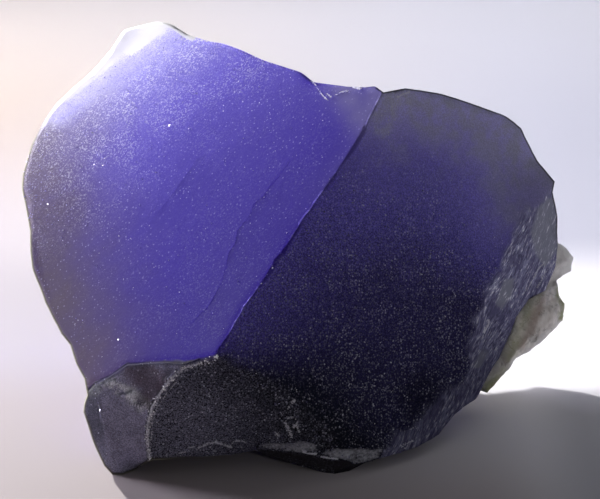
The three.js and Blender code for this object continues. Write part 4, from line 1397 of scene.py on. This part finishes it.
class StageSettings(bpy.types.PropertyGroup):
    lamp_power: power("Lamp power", "The small lamp behind, even at every distance", 24.9)
    lamp_size: length("Lamp size", "Side of the lamp behind", 0.004)
    left_power: power("Left power", "The broad soft lamp behind on the left", 34.0)
    left_size: length("Left size", "Side of the soft lamp on the left", 0.36)
    fill_power: power("Fill power", "The broad soft lamp behind on the right", 1.1)
    fill_size: length("Fill size", "Side of the soft lamp on the right", 0.60)
    glint_power: power("Glint power", "The small lamp in front on the right", 0.27)
    glint_size: length("Glint size", "Side of the lamp in front", 0.012)
    room_light: number("Room light", "Strength of the light all round", 0.13)
    # The table's colours are painted light and shade: floor white is a painted pool of light, the darker
    # colours are painted shade, and the pink and lavender are painted tints of the light
    floor_white: colour("Floor white", "The table beside the specimen", (0.88, 0.87, 0.90))
    floor_pink: colour("Floor pink", "The table far away on the left", (0.446, 0.362, 0.288))
    floor_lavender: colour("Floor lavender", "The table far away on the right", (0.48, 0.49, 0.565))
    floor_mist: colour("Floor mist", "The table behind the specimen on the left", (0.475, 0.425, 0.425))
    floor_left: colour("Floor left", "The table at the left of the specimen", (0.40, 0.352, 0.335))
    floor_beside: colour("Floor beside", "The table a little farther at the left", (0.415, 0.383, 0.397))
    floor_near: colour("Floor near", "The table close to the viewer", (0.35, 0.298, 0.290))


class FLUORITE_OT_stage(bpy.types.Operator):
    """Lay the pale table, hang the lamps and set up the camera"""

    bl_idname = "fluorite.stage"
    bl_label = "Table, lamps and camera"

    def execute(self, context):
        s = context.scene.fluorite_stage
        scene = context.scene
        corners = np.array([(-3, -3, 0), (3, -3, 0), (3, 3, 0), (-3, 3, 0)], float)
        table = make_object("table", corners, np.array([(0, 1, 2), (0, 2, 3)]), {}, self.table_material(s))

        behind = self.lamp("lamp_behind", LAMP_BEHIND, s.lamp_power, s.lamp_size, (1.0, 0.98, 0.98))
        self.lamp("lamp_left", LAMP_LEFT, s.left_power, s.left_size, (0.86, 0.84, 1.0))
        self.lamp("lamp_right", LAMP_RIGHT, s.fill_power, s.fill_size, (0.97, 0.98, 1.0))
        self.lamp("lamp_front", LAMP_FRONT, s.glint_power, s.glint_size, (1.0, 1.0, 1.0))
        behind.use_nodes = True
        nodes = behind.node_tree.nodes
        falloff = nodes.new("ShaderNodeLightFalloff")
        falloff.inputs["Strength"].default_value = 1.0
        behind.node_tree.links.new(falloff.outputs["Constant"], nodes["Emission"].inputs["Strength"])

        world = bpy.data.worlds.new("pale_room")
        world.use_nodes = True
        world.node_tree.nodes["Background"].inputs["Color"].default_value = (0.90, 0.90, 1.0, 1)
        world.node_tree.nodes["Background"].inputs["Strength"].default_value = s.room_light
        scene.world = world

        camera = bpy.data.objects.new("camera", bpy.data.cameras.new("camera"))
        middle = Vector(PLANE_MIDDLE)
        camera.location = middle + EYE * Vector((0, -math.cos(LEAN), math.sin(LEAN)))
        camera.rotation_mode = "QUATERNION"
        camera.rotation_quaternion = (middle - camera.location).to_track_quat("-Z", "Y")
        camera.data.sensor_width = 36
        camera.data.lens = 36 * EYE / FRAME_WIDTH
        scene.collection.objects.link(camera)
        scene.camera = camera
        scene.view_settings.view_transform = "Standard"
        return {"FINISHED"}

    def table_material(self, s):
        """Pale card whose colours are painted light and shade: pink and lavender tints of the light far
        away, a painted pool of light at the right, painted shade near the viewer and a painted shadow edge
        at the right.
        """
        m = Maker("pale_table")
        x = m.node("ShaderNodeSeparateXYZ", {}, {"Vector": m.place}, "X")
        y = m.node("ShaderNodeSeparateXYZ", {}, {"Vector": m.place}, "Y")
        far_left = m.mix(y.between(0.07, 0.17), s.floor_mist, s.floor_pink)
        far = m.mix(x.between(-0.09, 0.06), far_left, s.floor_lavender)
        beside = m.mix(y.between(-0.002, 0.024), s.floor_left, s.floor_beside)
        middle = m.mix(x.between(-0.03, 0.035), beside, s.floor_white)
        # Painted shade near the viewer, lighter towards the right
        close = m.mix(x.between(0.026, 0.043), s.floor_near, (0.56, 0.55, 0.56))
        near = m.mix(y.between(-0.05, 0.005), close, middle)
        # Painted shadow edge at the right of the specimen
        near = m.mix(x.between(0.034, 0.044) * y.between(0.0085, 0.003) * 0.5, near, (0.30, 0.30, 0.34))
        # Painted light: the far table lighter towards the back
        far = m.mix(y.between(0.12, 0.25) * 0.34, far, (1.0, 1.0, 1.0))
        colour = m.mix(y.between(0.048, 0.078), near, far)
        colour = m.mix(m.noise(0.05), colour, m.mix(0.03, colour, (0.0, 0.0, 0.0)))
        return m.finish(Base_Color=colour, Roughness=0.8)

    def lamp(self, name, place, power, size, rgb):
        """A square lamp that faces the specimen."""
        light = bpy.data.lights.new(name, "AREA")
        light.energy = power
        light.size = size
        light.color = rgb
        obj = bpy.data.objects.new(name, light)
        obj.location = place
        obj.rotation_mode = "QUATERNION"
        obj.rotation_quaternion = (Vector((0, 0, 0.02)) - Vector(place)).to_track_quat("-Z", "Y")
        bpy.context.scene.collection.objects.link(obj)
        return light


class FLUORITE_PT_specimen(bpy.types.Panel):
    bl_label = "Fluorite specimen"
    bl_space_type = "VIEW_3D"
    bl_region_type = "UI"
    bl_category = "Fluorite"

    def draw(self, context):
        for name, (settings, operator) in STEPS.items():
            for key in settings.__annotations__:
                self.layout.prop(getattr(context.scene, name), key)
            self.layout.operator(operator.bl_idname)


STEPS = {
    "fluorite_crystal": (CrystalSettings, FLUORITE_OT_crystal),
    "fluorite_matrix": (MatrixSettings, FLUORITE_OT_matrix),
    "fluorite_grains": (GrainSettings, FLUORITE_OT_grains),
    "fluorite_stage": (StageSettings, FLUORITE_OT_stage),
}


def register():
    for name, (settings, operator) in STEPS.items():
        bpy.utils.register_class(settings)
        bpy.utils.register_class(operator)
        setattr(bpy.types.Scene, name, bpy.props.PointerProperty(type=settings))
    bpy.utils.register_class(FLUORITE_PT_specimen)


def unregister():
    bpy.utils.unregister_class(FLUORITE_PT_specimen)
    for name, (settings, operator) in reversed(STEPS.items()):
        delattr(bpy.types.Scene, name)
        bpy.utils.unregister_class(operator)
        bpy.utils.unregister_class(settings)


def main():
    register()
    bpy.ops.fluorite.crystal()
    bpy.ops.fluorite.matrix()
    bpy.ops.fluorite.grains()
    bpy.ops.fluorite.stage()


if __name__ == "__main__":
    main()
